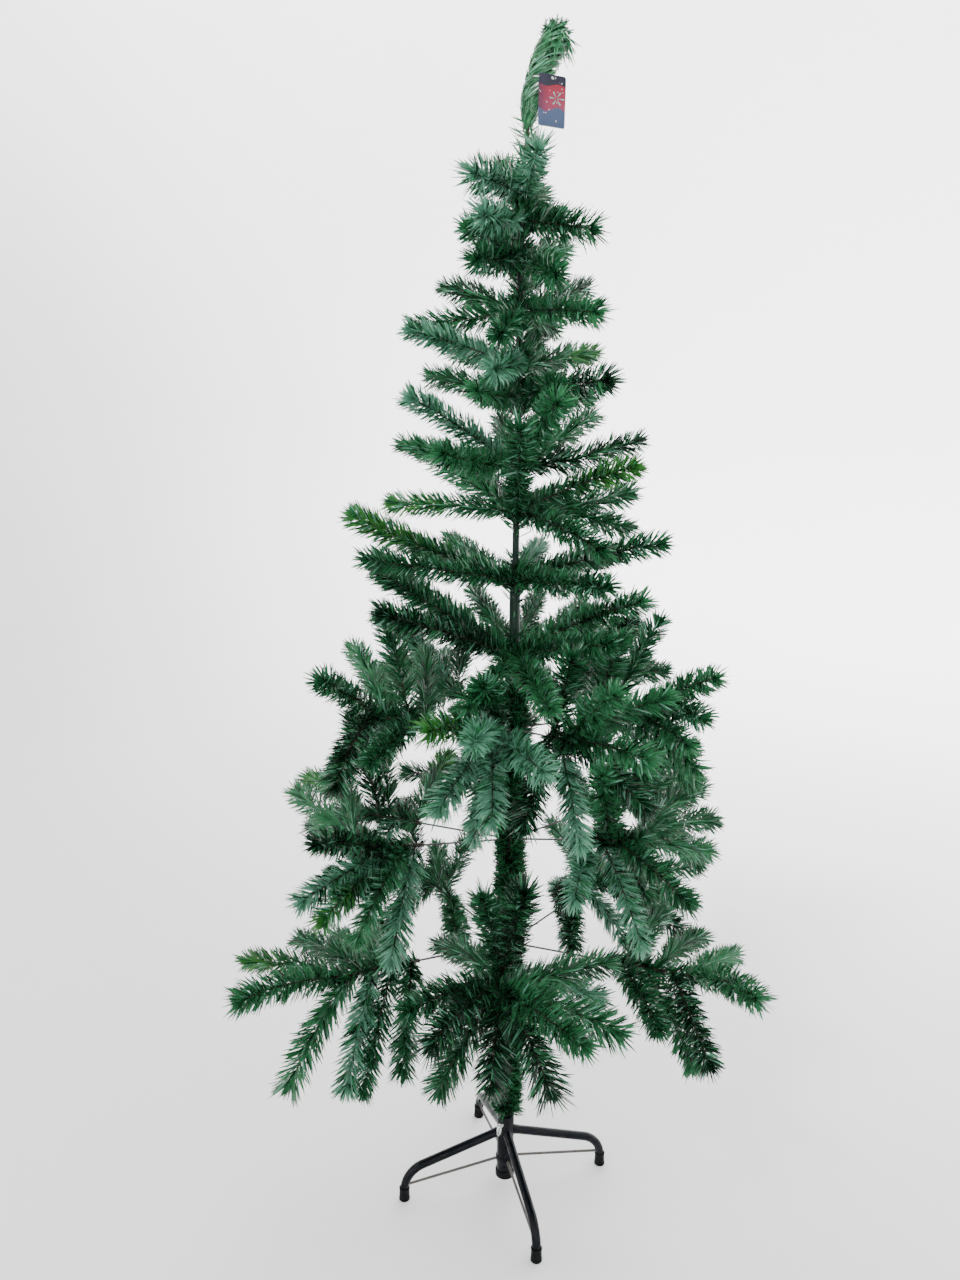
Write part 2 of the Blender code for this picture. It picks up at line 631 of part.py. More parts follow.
def ring_bore(rows):
    """Inner radius of a whorl's ring, which clears the pole that it is bound on."""
    return (POLE_RADIUS if rows[-1][0] < POLE_JOINT else UPPER_RADIUS) + GAP


def plan_whorl(name, rows, space):
    """Tips whose roots lie in the wall of the ring round the pole."""
    root_radius = ring_bore(rows) + RING_WALL - ROOT_INSET
    planned = []
    for height, length, headings in rows:
        roots = [round_the_pole(azimuth, root_radius, height) for azimuth, rise in headings]
        planned += plan_tips(name, roots, headings, length, WHORL_BOW, space, len(planned))
    return planned


def whorl(name, rows, planned, home, space):
    """Tips bound straight on the pole: a ring round it holds their roots."""
    low, high = rows[0][0] - RING_HALF_HEIGHT, rows[-1][0] + RING_HALF_HEIGHT
    inner = ring_bore(rows)
    outer = inner + RING_WALL
    ring = turned(name, ((outer, high), (outer, low), (inner, low), (inner, high)), POLE_STEPS,
                  home, NEEDLE_GREEN, closed=True)
    pieces = collection("pieces")
    grow_tips(name, planned, space, pieces)
    bpy.context.view_layer.update()
    fuse(ring, pieces)


def strand(home, space):
    """The tinsel strand wound round the lower pole: a three-sided core with needles."""
    heights, azimuths = zip(*STRAND_KNOTS)
    turns = np.radians(azimuths)
    radius = COLLAR_RADIUS + GAP + STRAND_RADIUS
    fine = np.linspace(heights[0], heights[-1], STRAND_FINE)
    angle = np.interp(fine, heights, turns)
    travel = np.cumsum(np.hypot(np.gradient(angle) * radius, np.gradient(fine)))
    count = int(travel[-1] / (2 * math.pi * radius / STRAND_SIDES)) + 1
    stops = np.linspace(0, travel[-1], count)
    angle = np.interp(stops, travel, angle)
    level = np.interp(stops, travel, fine)
    line = np.column_stack((radius * np.cos(angle), radius * np.sin(angle), level))
    space.take("tinsel_strand", line, STRAND_RADIUS)
    made = needled_core("tinsel_strand", line, np.full(count, STRAND_RADIUS),
                        (STRAND_NEEDLE_OUT, STRAND_NEEDLE_UP), STRAND_NEEDLE_UP, space,
                        "tinsel_strand", 0, home, 0.0)
    made.data.materials.append(material("tinsel_strand", *NEEDLE_GREEN))


def leader_samples():
    """Points close together along the leader's stem."""
    route = np.array([(aside, 0.0, height) for aside, height in LEADER_ROUTE])
    fine = np.linspace(0, len(route) - 1, LEADER_STEPS)
    return np.column_stack([np.interp(fine, np.arange(len(route)), axis) for axis in route.T])


def leader(home, space):
    """The top shoot, which stands on the pole and leans over at its folded tip."""
    route = np.array([(aside, 0.0, height) for aside, height in LEADER_ROUTE])
    radii = np.full(len(route), LEADER_CORE)
    radii[0] = UPPER_RADIUS - GAP
    radii[-1] = CORE_TIP_RADIUS
    made = needled_core("leader", route, radii, (LEADER_NEEDLE_OUT, LEADER_NEEDLE_FORWARD),
                        LEADER_NEEDLE_FORWARD, space, "leader", 0, home, 0.0)
    made.data.materials.append(material("leader", *NEEDLE_GREEN))


def tag_loop():
    """The cord's route: a slanted loop from behind the leader's stem down to the card."""
    knot = np.array([(aside, 0.0, height) for aside, height in LEADER_ROUTE])[TAG_LOOP_KNOT]
    place = Matrix.Rotation(TAG_TURN, 3, "Z")
    eyelet = Vector(TAG_CENTRE) + place @ Vector((0, 0, TAG_SIZE[2] / 2 - TAG_EYELET_DROP))
    stem = Vector(knot)
    reach = eyelet - stem
    far = stem - reach.normalized() * (LEADER_CORE + TAG_CORD + GAP)
    centre = far.lerp(eyelet, 0.5)
    long_side = (eyelet - far) / 2
    cross = Vector((0, 0, 1)).cross(long_side).normalized() * LOOP_SPREAD
    turns = [2 * math.pi * step / LOOP_STEPS for step in range(LOOP_STEPS)]
    return [centre + long_side * math.cos(turn) + cross * math.sin(turn) for turn in turns]


def hang_tag(home, space):
    """A printed card on a cord loop that hangs from the leader."""
    loop = tag_loop()
    for start, end in zip(loop, loop[1:] + loop[:1]):
        space.take("hang_tag", [start.lerp(end, share) for share in LOOP_SHARES], LOOP_ROOM)
    turn = Matrix.Rotation(TAG_TURN, 4, "Z")
    bpy.ops.mesh.primitive_cube_add(size=1)
    card = bpy.context.object
    card.name = "hang_tag"
    card.matrix_world = Matrix.Translation(Vector(TAG_CENTRE)) @ turn @ \
        Matrix.Diagonal((*TAG_SIZE, 1.0))
    card.users_collection[0].objects.unlink(card)
    home.objects.link(card)
    card.data.materials.append(material("hang_tag", *TAG_CARD))
    width, _, height = TAG_SIZE
    across, up = np.meshgrid(np.linspace(-width / 2, width / 2, TAG_GRID[0]),
                             np.linspace(-height / 2, height / 2, TAG_GRID[1]))
    flat = np.column_stack((across.ravel(), np.zeros(across.size), up.ravel()))
    samples = [Vector(TAG_CENTRE) + turn.to_3x3() @ Vector(point) for point in flat]
    space.take("hang_tag", samples, TAG_ROOM)
    pieces = collection("tag_pieces")
    cord = as_mesh(tube("tag_cord", loop, TAG_CORD, pieces, None, resolution=0, cyclic=True),
                   pieces)
    bpy.context.view_layer.update()
    fuse(card, pieces, "EXACT")


def centre_over_origin(home, cutters):
    """Shift the whole tree sideways so that the middle of its box stands over the origin."""
    bpy.context.view_layer.update()
    graph = bpy.context.evaluated_depsgraph_get()
    low, high = np.full(2, np.inf), np.full(2, -np.inf)
    for item in home.objects:
        mesh = item.evaluated_get(graph).to_mesh()
        points = np.empty(len(mesh.vertices) * 3, dtype=np.float32)
        mesh.vertices.foreach_get("co", points)
        matrix = np.array(item.matrix_world)
        placed = points.reshape(-1, 3) @ matrix[:3, :3].T + matrix[:3, 3]
        low = np.minimum(low, placed[:, :2].min(axis=0))
        high = np.maximum(high, placed[:, :2].max(axis=0))
    middle = (low + high) / 2
    for item in (*home.objects, *cutters.objects):
        item.matrix_world = Matrix.Translation((-middle[0], -middle[1], 0)) @ item.matrix_world


def build():
    for item in list(bpy.data.objects):
        bpy.data.objects.remove(item)
    tree = collection("christmas_tree")
    cutters = collection("cutters")
    space = Space()
    socket(tree, cutters)
    socket_cap(tree)
    thumb_screw(tree)
    for side, azimuth in FOOT_AZIMUTHS.items():
        leg(side, azimuth, tree)
    pole(tree, space)
    for row in BOUGHS:
        bough_rod(*row[:5], tree, space)
    hang_tag(tree, space)
    space.take("leader", leader_samples(), LEADER_CORE)
    whorl_plans = [plan_whorl(name, rows, space) for name, rows in WHORLS]
    bough_plans = [plan_bough(*row, space) for row in BOUGHS]
    leader(tree, space)
    for (name, rows), planned in zip(WHORLS, whorl_plans):
        whorl(name, rows, planned, tree, space)
    for row, planned in zip(BOUGHS, bough_plans):
        bough_foliage(*row[:6], planned, tree, space)
    strand(tree, space)
    centre_over_origin(tree, cutters)
    for item in tree.objects:
        if item.type == "MESH" and not item.name.startswith(("bough_foliage", "whorl", "leader")):
            item.data.shade_smooth()
            item.data.set_sharp_from_angle(angle=math.radians(35))


build()
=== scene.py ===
"""Looks of an artificial christmas tree, 1.8 m tall, on a folding four-legged steel stand.

The file follows the tree as it is put together: foot caps, legs, stays, socket, thumb screw,
pole, bough rods, hang tag, leader, then the needled tips and the tinsel round the pole.
Every piece is worked out about the pole's axis and then moved to where the pole stands.
"""
import math
import random

import bmesh
import bpy
import numpy as np
from mathutils import Matrix, Vector


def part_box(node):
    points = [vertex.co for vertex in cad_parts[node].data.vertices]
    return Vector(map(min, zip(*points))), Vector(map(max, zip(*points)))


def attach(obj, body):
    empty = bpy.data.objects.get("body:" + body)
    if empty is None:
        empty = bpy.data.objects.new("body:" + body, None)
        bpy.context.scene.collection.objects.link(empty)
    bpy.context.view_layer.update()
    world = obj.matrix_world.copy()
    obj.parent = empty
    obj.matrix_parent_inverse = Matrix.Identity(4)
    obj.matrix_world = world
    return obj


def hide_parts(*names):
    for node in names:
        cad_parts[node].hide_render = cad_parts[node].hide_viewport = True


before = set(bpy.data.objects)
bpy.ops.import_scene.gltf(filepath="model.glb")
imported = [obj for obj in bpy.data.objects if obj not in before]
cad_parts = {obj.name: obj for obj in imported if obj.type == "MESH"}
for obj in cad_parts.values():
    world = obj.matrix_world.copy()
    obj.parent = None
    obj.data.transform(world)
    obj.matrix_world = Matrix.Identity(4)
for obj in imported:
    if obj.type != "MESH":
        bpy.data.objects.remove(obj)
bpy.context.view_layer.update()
pole_low, pole_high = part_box("pole_lower")
AXIS = np.array(((pole_low.x + pole_high.x) / 2, (pole_low.y + pole_high.y) / 2, 0.0))
UP = np.array((0.0, 0.0, 1.0))


# Foot caps: push-on cups of matt black plastic, one on each leg's upright end. They are
# moulded in one piece, with a thicker sole and a thin lip round the mouth.
FEET = {"left": 197, "front": 287, "right": 17, "back": 107}
FOOT_CIRCLE = 0.171
CAP_OUTLINE = ((0, 0), (0.0080, 0), (0.0088, 0.0008), (0.0088, 0.0044), (0.0083, 0.0054),
               (0.0081, 0.0188), (0.0086, 0.0196), (0.0086, 0.0216), (0.0082, 0.0220),
               (0.0073, 0.0220), (0.0072, 0.0120), (0, 0.0120))


class Value:
    """A node's output. Arithmetic on it, with another output or a number, adds Math nodes."""

    def __init__(self, finish, socket):
        self.finish = finish
        self.socket = socket

    def math(self, operation, first, second):
        return self.finish.node("Math", {"operation": operation}, {0: first, 1: second})

    def __add__(self, other):
        return self.math("ADD", self, other)

    def __sub__(self, other):
        return self.math("SUBTRACT", self, other)

    def __rsub__(self, other):
        return self.math("SUBTRACT", other, self)

    def __mul__(self, other):
        return self.math("MULTIPLY", self, other)

    __radd__ = __add__
    __rmul__ = __mul__

    def __gt__(self, other):
        return self.math("GREATER_THAN", self, other)

    def __lt__(self, other):
        return self.math("LESS_THAN", self, other)


class Finish:
    """A material: uniform values sit on its shader, patterns are worked out from the place."""

    def __init__(self, name, **uniform):
        self.material = bpy.data.materials.new(name)
        self.material.use_nodes = True
        self.tree = self.material.node_tree
        self.shader = self.tree.nodes["Principled BSDF"]
        for socket, value in uniform.items():
            self.shader.inputs[socket.replace("_", " ")].default_value = value
        self.place = self.node("TexCoord", {}, {}, "Object")

    def node(self, kind, settings, values, output=0):
        """Any node: its settings first, then the number or link of each socket it names."""
        made = self.tree.nodes.new("ShaderNode" + kind)
        for name, value in settings.items():
            setattr(made, name, value)
        for name, value in values.items():
            if isinstance(value, Value):
                self.tree.links.new(value.socket, made.inputs[name])
            else:
                made.inputs[name].default_value = value
        return Value(self, made.outputs[output])

    def noise(self, scale, detail=2.0, stretch=None):
        """Cloudy pattern from 0 to 1, about 1 / scale metres across, stretched along an axis."""
        place = self.place
        if stretch:
            place = self.node("Mapping", {}, {"Vector": place, "Scale": stretch})
        return self.node("TexNoise", {}, {"Vector": place, "Scale": scale, "Detail": detail})

    def mix(self, share, first, second):
        """Between two colours by a share from 0 to 1."""
        return self.node("Mix", {"data_type": "RGBA"}, {0: share, 6: first, 7: second}, 2)

    def bump(self, height, strength, distance):
        return self.node("Bump", {}, {"Height": height, "Strength": strength,
                                      "Distance": distance})

    def feed(self, **sockets):
        """Link patterns to the shader's sockets."""
        for socket, value in sockets.items():
            self.tree.links.new(value.socket, self.shader.inputs[socket.replace("_", " ")])
        return self.material


def wrapped_quads(rows, columns):
    """Quads of a grid of rows by columns points, whose columns close into a ring."""
    row = np.arange(rows - 1)[:, None] * columns
    column = np.arange(columns)[None, :]
    onward = (column + 1) % columns
    corners = (row + column, row + onward, row + columns + onward, row + columns + column)
    return np.stack(corners, axis=-1).reshape(-1, 4)


def turned(outline, steps=48):
    """Each (radius r, height z) of the outline goes round: (r cos a, r sin a, z), a to 2 pi."""
    outline = np.array(outline, dtype=float)
    angle = np.arange(steps) * 2 * math.pi / steps
    across = outline[:, :1] * np.cos(angle), outline[:, :1] * np.sin(angle)
    height = np.repeat(outline[:, 1:], steps, axis=1)
    return np.stack((*across, height), axis=-1).reshape(-1, 3), wrapped_quads(len(outline), steps)


def round_the_pole(points, faces, azimuths):
    """Copies of a shape made at azimuth 0: (x cos a - y sin a, x sin a + y cos a, z) for each a."""
    turn = np.radians(azimuths)[:, None]
    copies = np.stack((points[:, 0] * np.cos(turn) - points[:, 1] * np.sin(turn),
                       points[:, 0] * np.sin(turn) + points[:, 1] * np.cos(turn),
                       np.broadcast_to(points[:, 2], (len(turn), len(points)))), axis=-1)
    starts = np.arange(len(turn))[:, None, None] * len(points)
    return copies.reshape(-1, 3), (faces[None] + starts).reshape(-1, faces.shape[1])


def add_piece(name, points, faces, material, slot, nodes, weld=True):
    """A mesh from an array of points and one of faces, moved to the pole and put on the root."""
    mesh = bpy.data.meshes.new(name)
    corners = faces.shape[1]
    mesh.vertices.add(len(points))
    mesh.vertices.foreach_set("co", (points + AXIS).astype(np.float32).ravel())
    mesh.loops.add(faces.size)
    mesh.loops.foreach_set("vertex_index", faces.astype(np.int32).ravel())
    mesh.polygons.add(len(faces))
    mesh.polygons.foreach_set("loop_start", np.arange(0, faces.size, corners, dtype=np.int32))
    mesh.update(calc_edges=True)
    if weld:
        shell = bmesh.new()
        shell.from_mesh(mesh)
        bmesh.ops.remove_doubles(shell, verts=shell.verts, dist=0.000002)
        shell.to_mesh(mesh)
        shell.free()
    mesh.shade_smooth()
    if weld:
        mesh.set_sharp_from_angle(angle=math.radians(40))
    mesh.materials.append(material)
    piece = bpy.data.objects.new(name, mesh)
    bpy.context.scene.collection.objects.link(piece)
    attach(piece, "root")
    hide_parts(*nodes)
    return piece


moulding = Finish("moulded_black_plastic", Specular_IOR_Level=0.08)
scuff = moulding.noise(90.0, 4.0)
grain = moulding.noise(2600.0)
moulded_black = moulding.feed(
    Base_Color=moulding.mix(scuff, (0.0022, 0.0023, 0.0028, 1), (0.0075, 0.0075, 0.0085, 1)),
    Roughness=scuff * 0.18 + 0.46,
    Normal=moulding.bump(grain, 0.25, 0.0002))

cap, cap_faces = turned(CAP_OUTLINE, 40)
cap[:, 0] += FOOT_CIRCLE
add_piece("foot_caps", *round_the_pole(cap, cap_faces, list(FEET.values())), moulded_black,
          "stand_plastic", ["foot_cap_" + side for side in FEET])


# Legs: 14 mm steel tubes, bent down at their outer end and enamelled gloss black. Each is
# welded to the socket tube at its top and falls 16 degrees to the bend.
LEG_RADIUS = 0.007
LEG_TOP = 0.094
LEG_FALL = math.radians(16)
LEG_BEND = 0.042
LEG_END = 0.0125
SOCKET_RADIUS = 0.014
CLOSING_STEP = 0.00002


def carried(path, side, radius, columns, ripple=0.0):
    """A round section carried along a path: path + r (cos a n + sin a side), where n is the
    side turned a quarter about the path. The ripple swells r by that share of cos 2(a - turn)
    with the turn growing along the path's last axis, as on a twisted pair of wires."""
    path = np.asarray(path, dtype=float)
    tangent = np.gradient(path, axis=-2)
    tangent /= np.linalg.norm(tangent, axis=-1, keepdims=True)
    side = np.broadcast_to(side, path.shape)
    normal = np.cross(side, tangent)
    angle = np.arange(columns) * 2 * math.pi / columns
    turn = np.arange(path.shape[-2])[:, None] * math.pi / 4
    swell = 1 + ripple * np.cos(2 * (angle - turn))
    reach = (np.broadcast_to(radius, path.shape[:-1])[..., None] * swell)[..., None]
    ring = np.cos(angle)[:, None] * normal[..., None, :] + np.sin(angle)[:, None] * side[..., None, :]
    points = (path[..., None, :] + reach * ring).reshape(-1, 3)
    one = wrapped_quads(path.shape[-2], columns)
    starts = np.arange(path[..., 0, 0].size)[:, None, None] * path.shape[-2] * columns
    return points, (one[None] + starts).reshape(-1, 4)


def closed(path, radius):
    """A path and its radii with a point just past both ends, where the section closes. The
    step onward gives the end its direction: a doubled point would have none."""
    radii = np.broadcast_to(radius, len(path))
    back, onward = path[0] - path[1], path[-1] - path[-2]
    first = path[0] + CLOSING_STEP * back / np.linalg.norm(back)
    last = path[-1] + CLOSING_STEP * onward / np.linalg.norm(onward)
    return np.vstack((first, path, last)), np.concatenate(((0.0,), radii, (0.0,)))


bend_out = FOOT_CIRCLE - LEG_BEND * (1 - math.sin(LEG_FALL))
bend_top = LEG_TOP - (bend_out - SOCKET_RADIUS) * math.tan(LEG_FALL)
start_out = SOCKET_RADIUS - 0.0012
angle = np.linspace(LEG_FALL, math.pi / 2, 20)
fall = np.linspace(start_out, bend_out, 14)[:-1]
out = np.concatenate((fall, bend_out + LEG_BEND * (np.sin(angle) - math.sin(LEG_FALL)),
                      (FOOT_CIRCLE,)))
level = np.concatenate((LEG_TOP - (fall - SOCKET_RADIUS) * math.tan(LEG_FALL),
                        bend_top - LEG_BEND * (math.cos(LEG_FALL) - np.cos(angle)), (LEG_END,)))
leg_path = np.stack((out, np.zeros_like(out), level), axis=-1)
weld_swell = LEG_RADIUS * (1 + 0.22 * np.exp(-((out - SOCKET_RADIUS) / 0.0016) ** 2))
leg_points, leg_faces = carried(leg_path, (0, 1, 0), weld_swell, 28)

enamel = Finish("gloss_black_enamel", Specular_IOR_Level=0.12)
peel = enamel.noise(700.0, 1.0)
dust = enamel.noise(45.0, 5.0)
gloss_black = enamel.feed(
    Base_Color=enamel.mix(dust, (0.0015, 0.0020, 0.0032, 1), (0.0040, 0.0052, 0.0080, 1)),
    Roughness=dust * 0.08 + 0.05,
    Normal=enamel.bump(peel, 0.06, 0.0001))
add_piece("bent_legs", *round_the_pole(leg_points, leg_faces, list(FEET.values())),
          gloss_black, "stand_enamel", ["leg_" + side for side in FEET])


# Stay rods: thin steel rods from the band low on the socket out to each leg just over its
# cap. They keep the folding legs spread.
STAY_RADIUS = 0.0021
STAY_ENDS = ((0.0152, 0.0460), (0.1642, 0.0262))

stay_line = np.array([(far, 0.0, height) for far, height in STAY_ENDS])
share = np.linspace(0, 1, 12)[:, None]
stay_path, stay_radii = closed(stay_line[0] * (1 - share) + stay_line[1] * share, STAY_RADIUS)
steel = Finish("drawn_steel_rod", Metallic=0.4, Specular_IOR_Level=0.3)
streak = steel.noise(260.0, 3.0, (0.15, 1.0, 1.0))
drawn_steel = steel.feed(
    Base_Color=steel.mix(streak, (0.045, 0.041, 0.037, 1), (0.120, 0.112, 0.102, 1)),
    Roughness=streak * 0.25 + 0.3)
add_piece("stay_rods",
          *round_the_pole(*carried(stay_path, (0, 1, 0), stay_radii, 14), list(FEET.values())),
          drawn_steel, "rod_steel", ["stay_" + side for side in FEET])


# Socket: a steel tube that the pole stands in, with a band for the stays, gloss black like
# the legs. A moulded cup closes its foot.
BORE = 0.00855
SOCKET_OUTLINE = ((BORE, 0.0155), (0.0134, 0.0155), (0.0140, 0.0161), (0.0140, 0.0412),
                  (0.0149, 0.0416), (0.0155, 0.0424), (0.0156, 0.0432), (0.0156, 0.0488),
                  (0.0155, 0.0496), (0.0149, 0.0503), (0.0140, 0.0506), (0.0140, 0.1238),
                  (0.0136, 0.1248), (0.0129, 0.1250), (0.0110, 0.1244), (BORE, 0.1236),
                  (BORE, 0.0155))
CUP_OUTLINE = ((0, 0.0130), (0.0146, 0.0130), (0.0155, 0.0138), (0.0157, 0.0150),
               (0.0157, 0.0240), (0.0154, 0.0249), (0.0149, 0.0250), (0.0143, 0.0248),
               (0.0143, 0.0152), (0, 0.0152))

add_piece("socket_steel_tube", *turned(SOCKET_OUTLINE, 64), gloss_black, "stand_enamel",
          ["socket_tube"])
add_piece("socket_foot_cup", *turned(CUP_OUTLINE, 64), moulded_black, "stand_plastic",
          ["socket_cap"])


# Thumb screw: a zinc-plated bolt through the socket's wall that clamps the pole. Its outer
# end is bent to an upright eye for the fingers.
SCREW_AZIMUTH = -112
SCREW_HEIGHT = 0.113
SCREW_RADIUS = 0.0020
SCREW_REACH = 0.022
EYE_RADIUS = 0.0062
EYE_WIRE = 0.0016
EYE_STRETCH = 1.45
THREAD_PITCH = 0.0008

along = np.linspace(BORE, SCREW_REACH, 96)
turn = np.arange(20) * 2 * math.pi / 20
thread = SCREW_RADIUS * (1 - 0.09 * (0.5 + 0.5 * np.cos(
    2 * math.pi * along[:, None] / THREAD_PITCH - turn)))
thread[(0, -1), :] = 0.0
shank = np.stack((np.broadcast_to(along[:, None], thread.shape), thread * np.cos(turn),
                  SCREW_HEIGHT + thread * np.sin(turn)), axis=-1).reshape(-1, 3)
eye_turn = np.linspace(0, 2 * math.pi, 49)
eye_centre = SCREW_REACH + EYE_RADIUS - EYE_WIRE / 2
eye_path = np.stack((eye_centre - EYE_RADIUS * np.cos(eye_turn), np.zeros(49),
                     SCREW_HEIGHT + EYE_RADIUS * EYE_STRETCH * np.sin(eye_turn)), axis=-1)
eye, eye_faces = carried(eye_path, (0, 1, 0), EYE_WIRE, 16)
screw_points = np.vstack((shank, eye))
screw_faces = np.vstack((wrapped_quads(96, 20), eye_faces + len(shank)))

zinc = Finish("zinc_plated_steel", Metallic=1.0)
tarnish = zinc.noise(420.0, 4.0)
bright_zinc = zinc.feed(
    Base_Color=zinc.mix(tarnish, (0.42, 0.43, 0.44, 1), (0.78, 0.78, 0.77, 1)),
    Roughness=tarnish * 0.22 + 0.16)
add_piece("eye_screw", *round_the_pole(screw_points, screw_faces, [SCREW_AZIMUTH]),
          bright_zinc, "screw_steel", ["thumb_screw"])


# Pole: two steel tubes, one in the other's narrowed top, painted dark green. Three welded
# collars on the lower one take the boughs' hooks.
POLE_RADIUS = 0.00825
POLE_JOINT = 1.030
UPPER_RADIUS = 0.00525
UPPER_TOP = 1.598
COLLAR_RADIUS = 0.0115
COLLAR_HEIGHT = 0.014
TIERS = (0.430, 0.605, 0.785)
POLE_BORE = 0.0069
POCKETS = 6

lower = [(POLE_BORE, 0.0158), (POLE_RADIUS, 0.0158)]
for height in TIERS:
    foot, top = height - COLLAR_HEIGHT / 2, height + COLLAR_HEIGHT / 2
    lower += [(POLE_RADIUS, foot - 0.0012), (POLE_RADIUS + 0.0006, foot),
              (COLLAR_RADIUS - 0.0009, foot + 0.0002), (COLLAR_RADIUS, foot + 0.0012),
              (COLLAR_RADIUS, height), (COLLAR_RADIUS, top - 0.0012),
              (COLLAR_RADIUS - 0.0009, top - 0.0002), (POLE_RADIUS + 0.0006, top),
              (POLE_RADIUS, top + 0.0012)]
lower += [(POLE_RADIUS, 0.996), (POLE_RADIUS - 0.0005, 1.000), (POLE_RADIUS - 0.0005, 1.028),
          (POLE_RADIUS - 0.0011, POLE_JOINT), (0.00560, POLE_JOINT), (0.00560, 0.994),
          (POLE_BORE, 0.990), (POLE_BORE, 0.0158)]
lower_points, lower_faces = turned(lower, 72)
pocket_turn = np.arctan2(lower_points[:, 1], lower_points[:, 0])
on_collar = np.clip((np.hypot(lower_points[:, 0], lower_points[:, 1]) - POLE_RADIUS) / 0.002, 0, 1)
dent = 1 - 0.075 * on_collar * (0.5 + 0.5 * np.cos(POCKETS * pocket_turn)) ** 6
lower_points[:, :2] *= dent[:, None]
upper = ((0, 0.990), (UPPER_RADIUS, 0.990), (UPPER_RADIUS, UPPER_TOP - 0.0008),
         (UPPER_RADIUS - 0.0008, UPPER_TOP), (0, UPPER_TOP))

paint = Finish("dark_green_paint", Specular_IOR_Level=0.16)
cloud = paint.noise(38.0, 5.0, (1.0, 1.0, 0.2))
rub = paint.noise(320.0, 4.0)
dark_green = paint.feed(
    Base_Color=paint.mix(cloud, (0.0022, 0.010, 0.0062, 1), (0.0065, 0.023, 0.015, 1)),
    Roughness=rub * 0.2 + 0.34,
    Normal=paint.bump(paint.noise(900.0, 1.0), 0.1, 0.0001))
add_piece("lower_pole", lower_points, lower_faces, dark_green, "pole_enamel", ["pole_lower"])
add_piece("upper_pole", *turned(upper, 48), dark_green, "pole_enamel", ["pole_upper"])


# Room: each tip keeps clear of what is already placed. Balls stand for the pole and its
# collars here, and for each piece that follows, in the same steps as the solid tree has.
SAMPLE_STEP = 0.006
CORE_RADIUS = 0.0042
TIP_SPACING = 0.012
ROOT_SAMPLES = 3


class Room:
    """The balls of every piece placed so far, with their owners."""

    def __init__(self):
        self.balls = []

    def take(self, owner, points, radius):
        self.balls.append((owner, np.column_stack((points, np.full(len(points), radius)))))

    def left(self, owner, points, radius):
        """Least distance from the points' own balls to those of every other owner."""
        others = np.vstack([balls for name, balls in self.balls if name != owner])
        apart = np.linalg.norm(np.asarray(points)[:, None] - others[None, :, :3], axis=2)
        return float((apart - others[:, 3] - radius).min())


def upright(low_end, high_end):
    """Points on the pole's axis, a step apart."""
    heights = np.arange(low_end, high_end, SAMPLE_STEP)
    return np.column_stack((np.zeros((len(heights), 2)), heights))


room = Room()
room.take("pole", upright(0.0, POLE_JOINT), POLE_RADIUS)
room.take("pole", upright(POLE_JOINT, UPPER_TOP), UPPER_RADIUS)
for height in TIERS:
    spots = [(0, 0, height + rise) for rise in (-COLLAR_HEIGHT / 2, 0, COLLAR_HEIGHT / 2)]
    room.take("pole", spots, COLLAR_RADIUS)


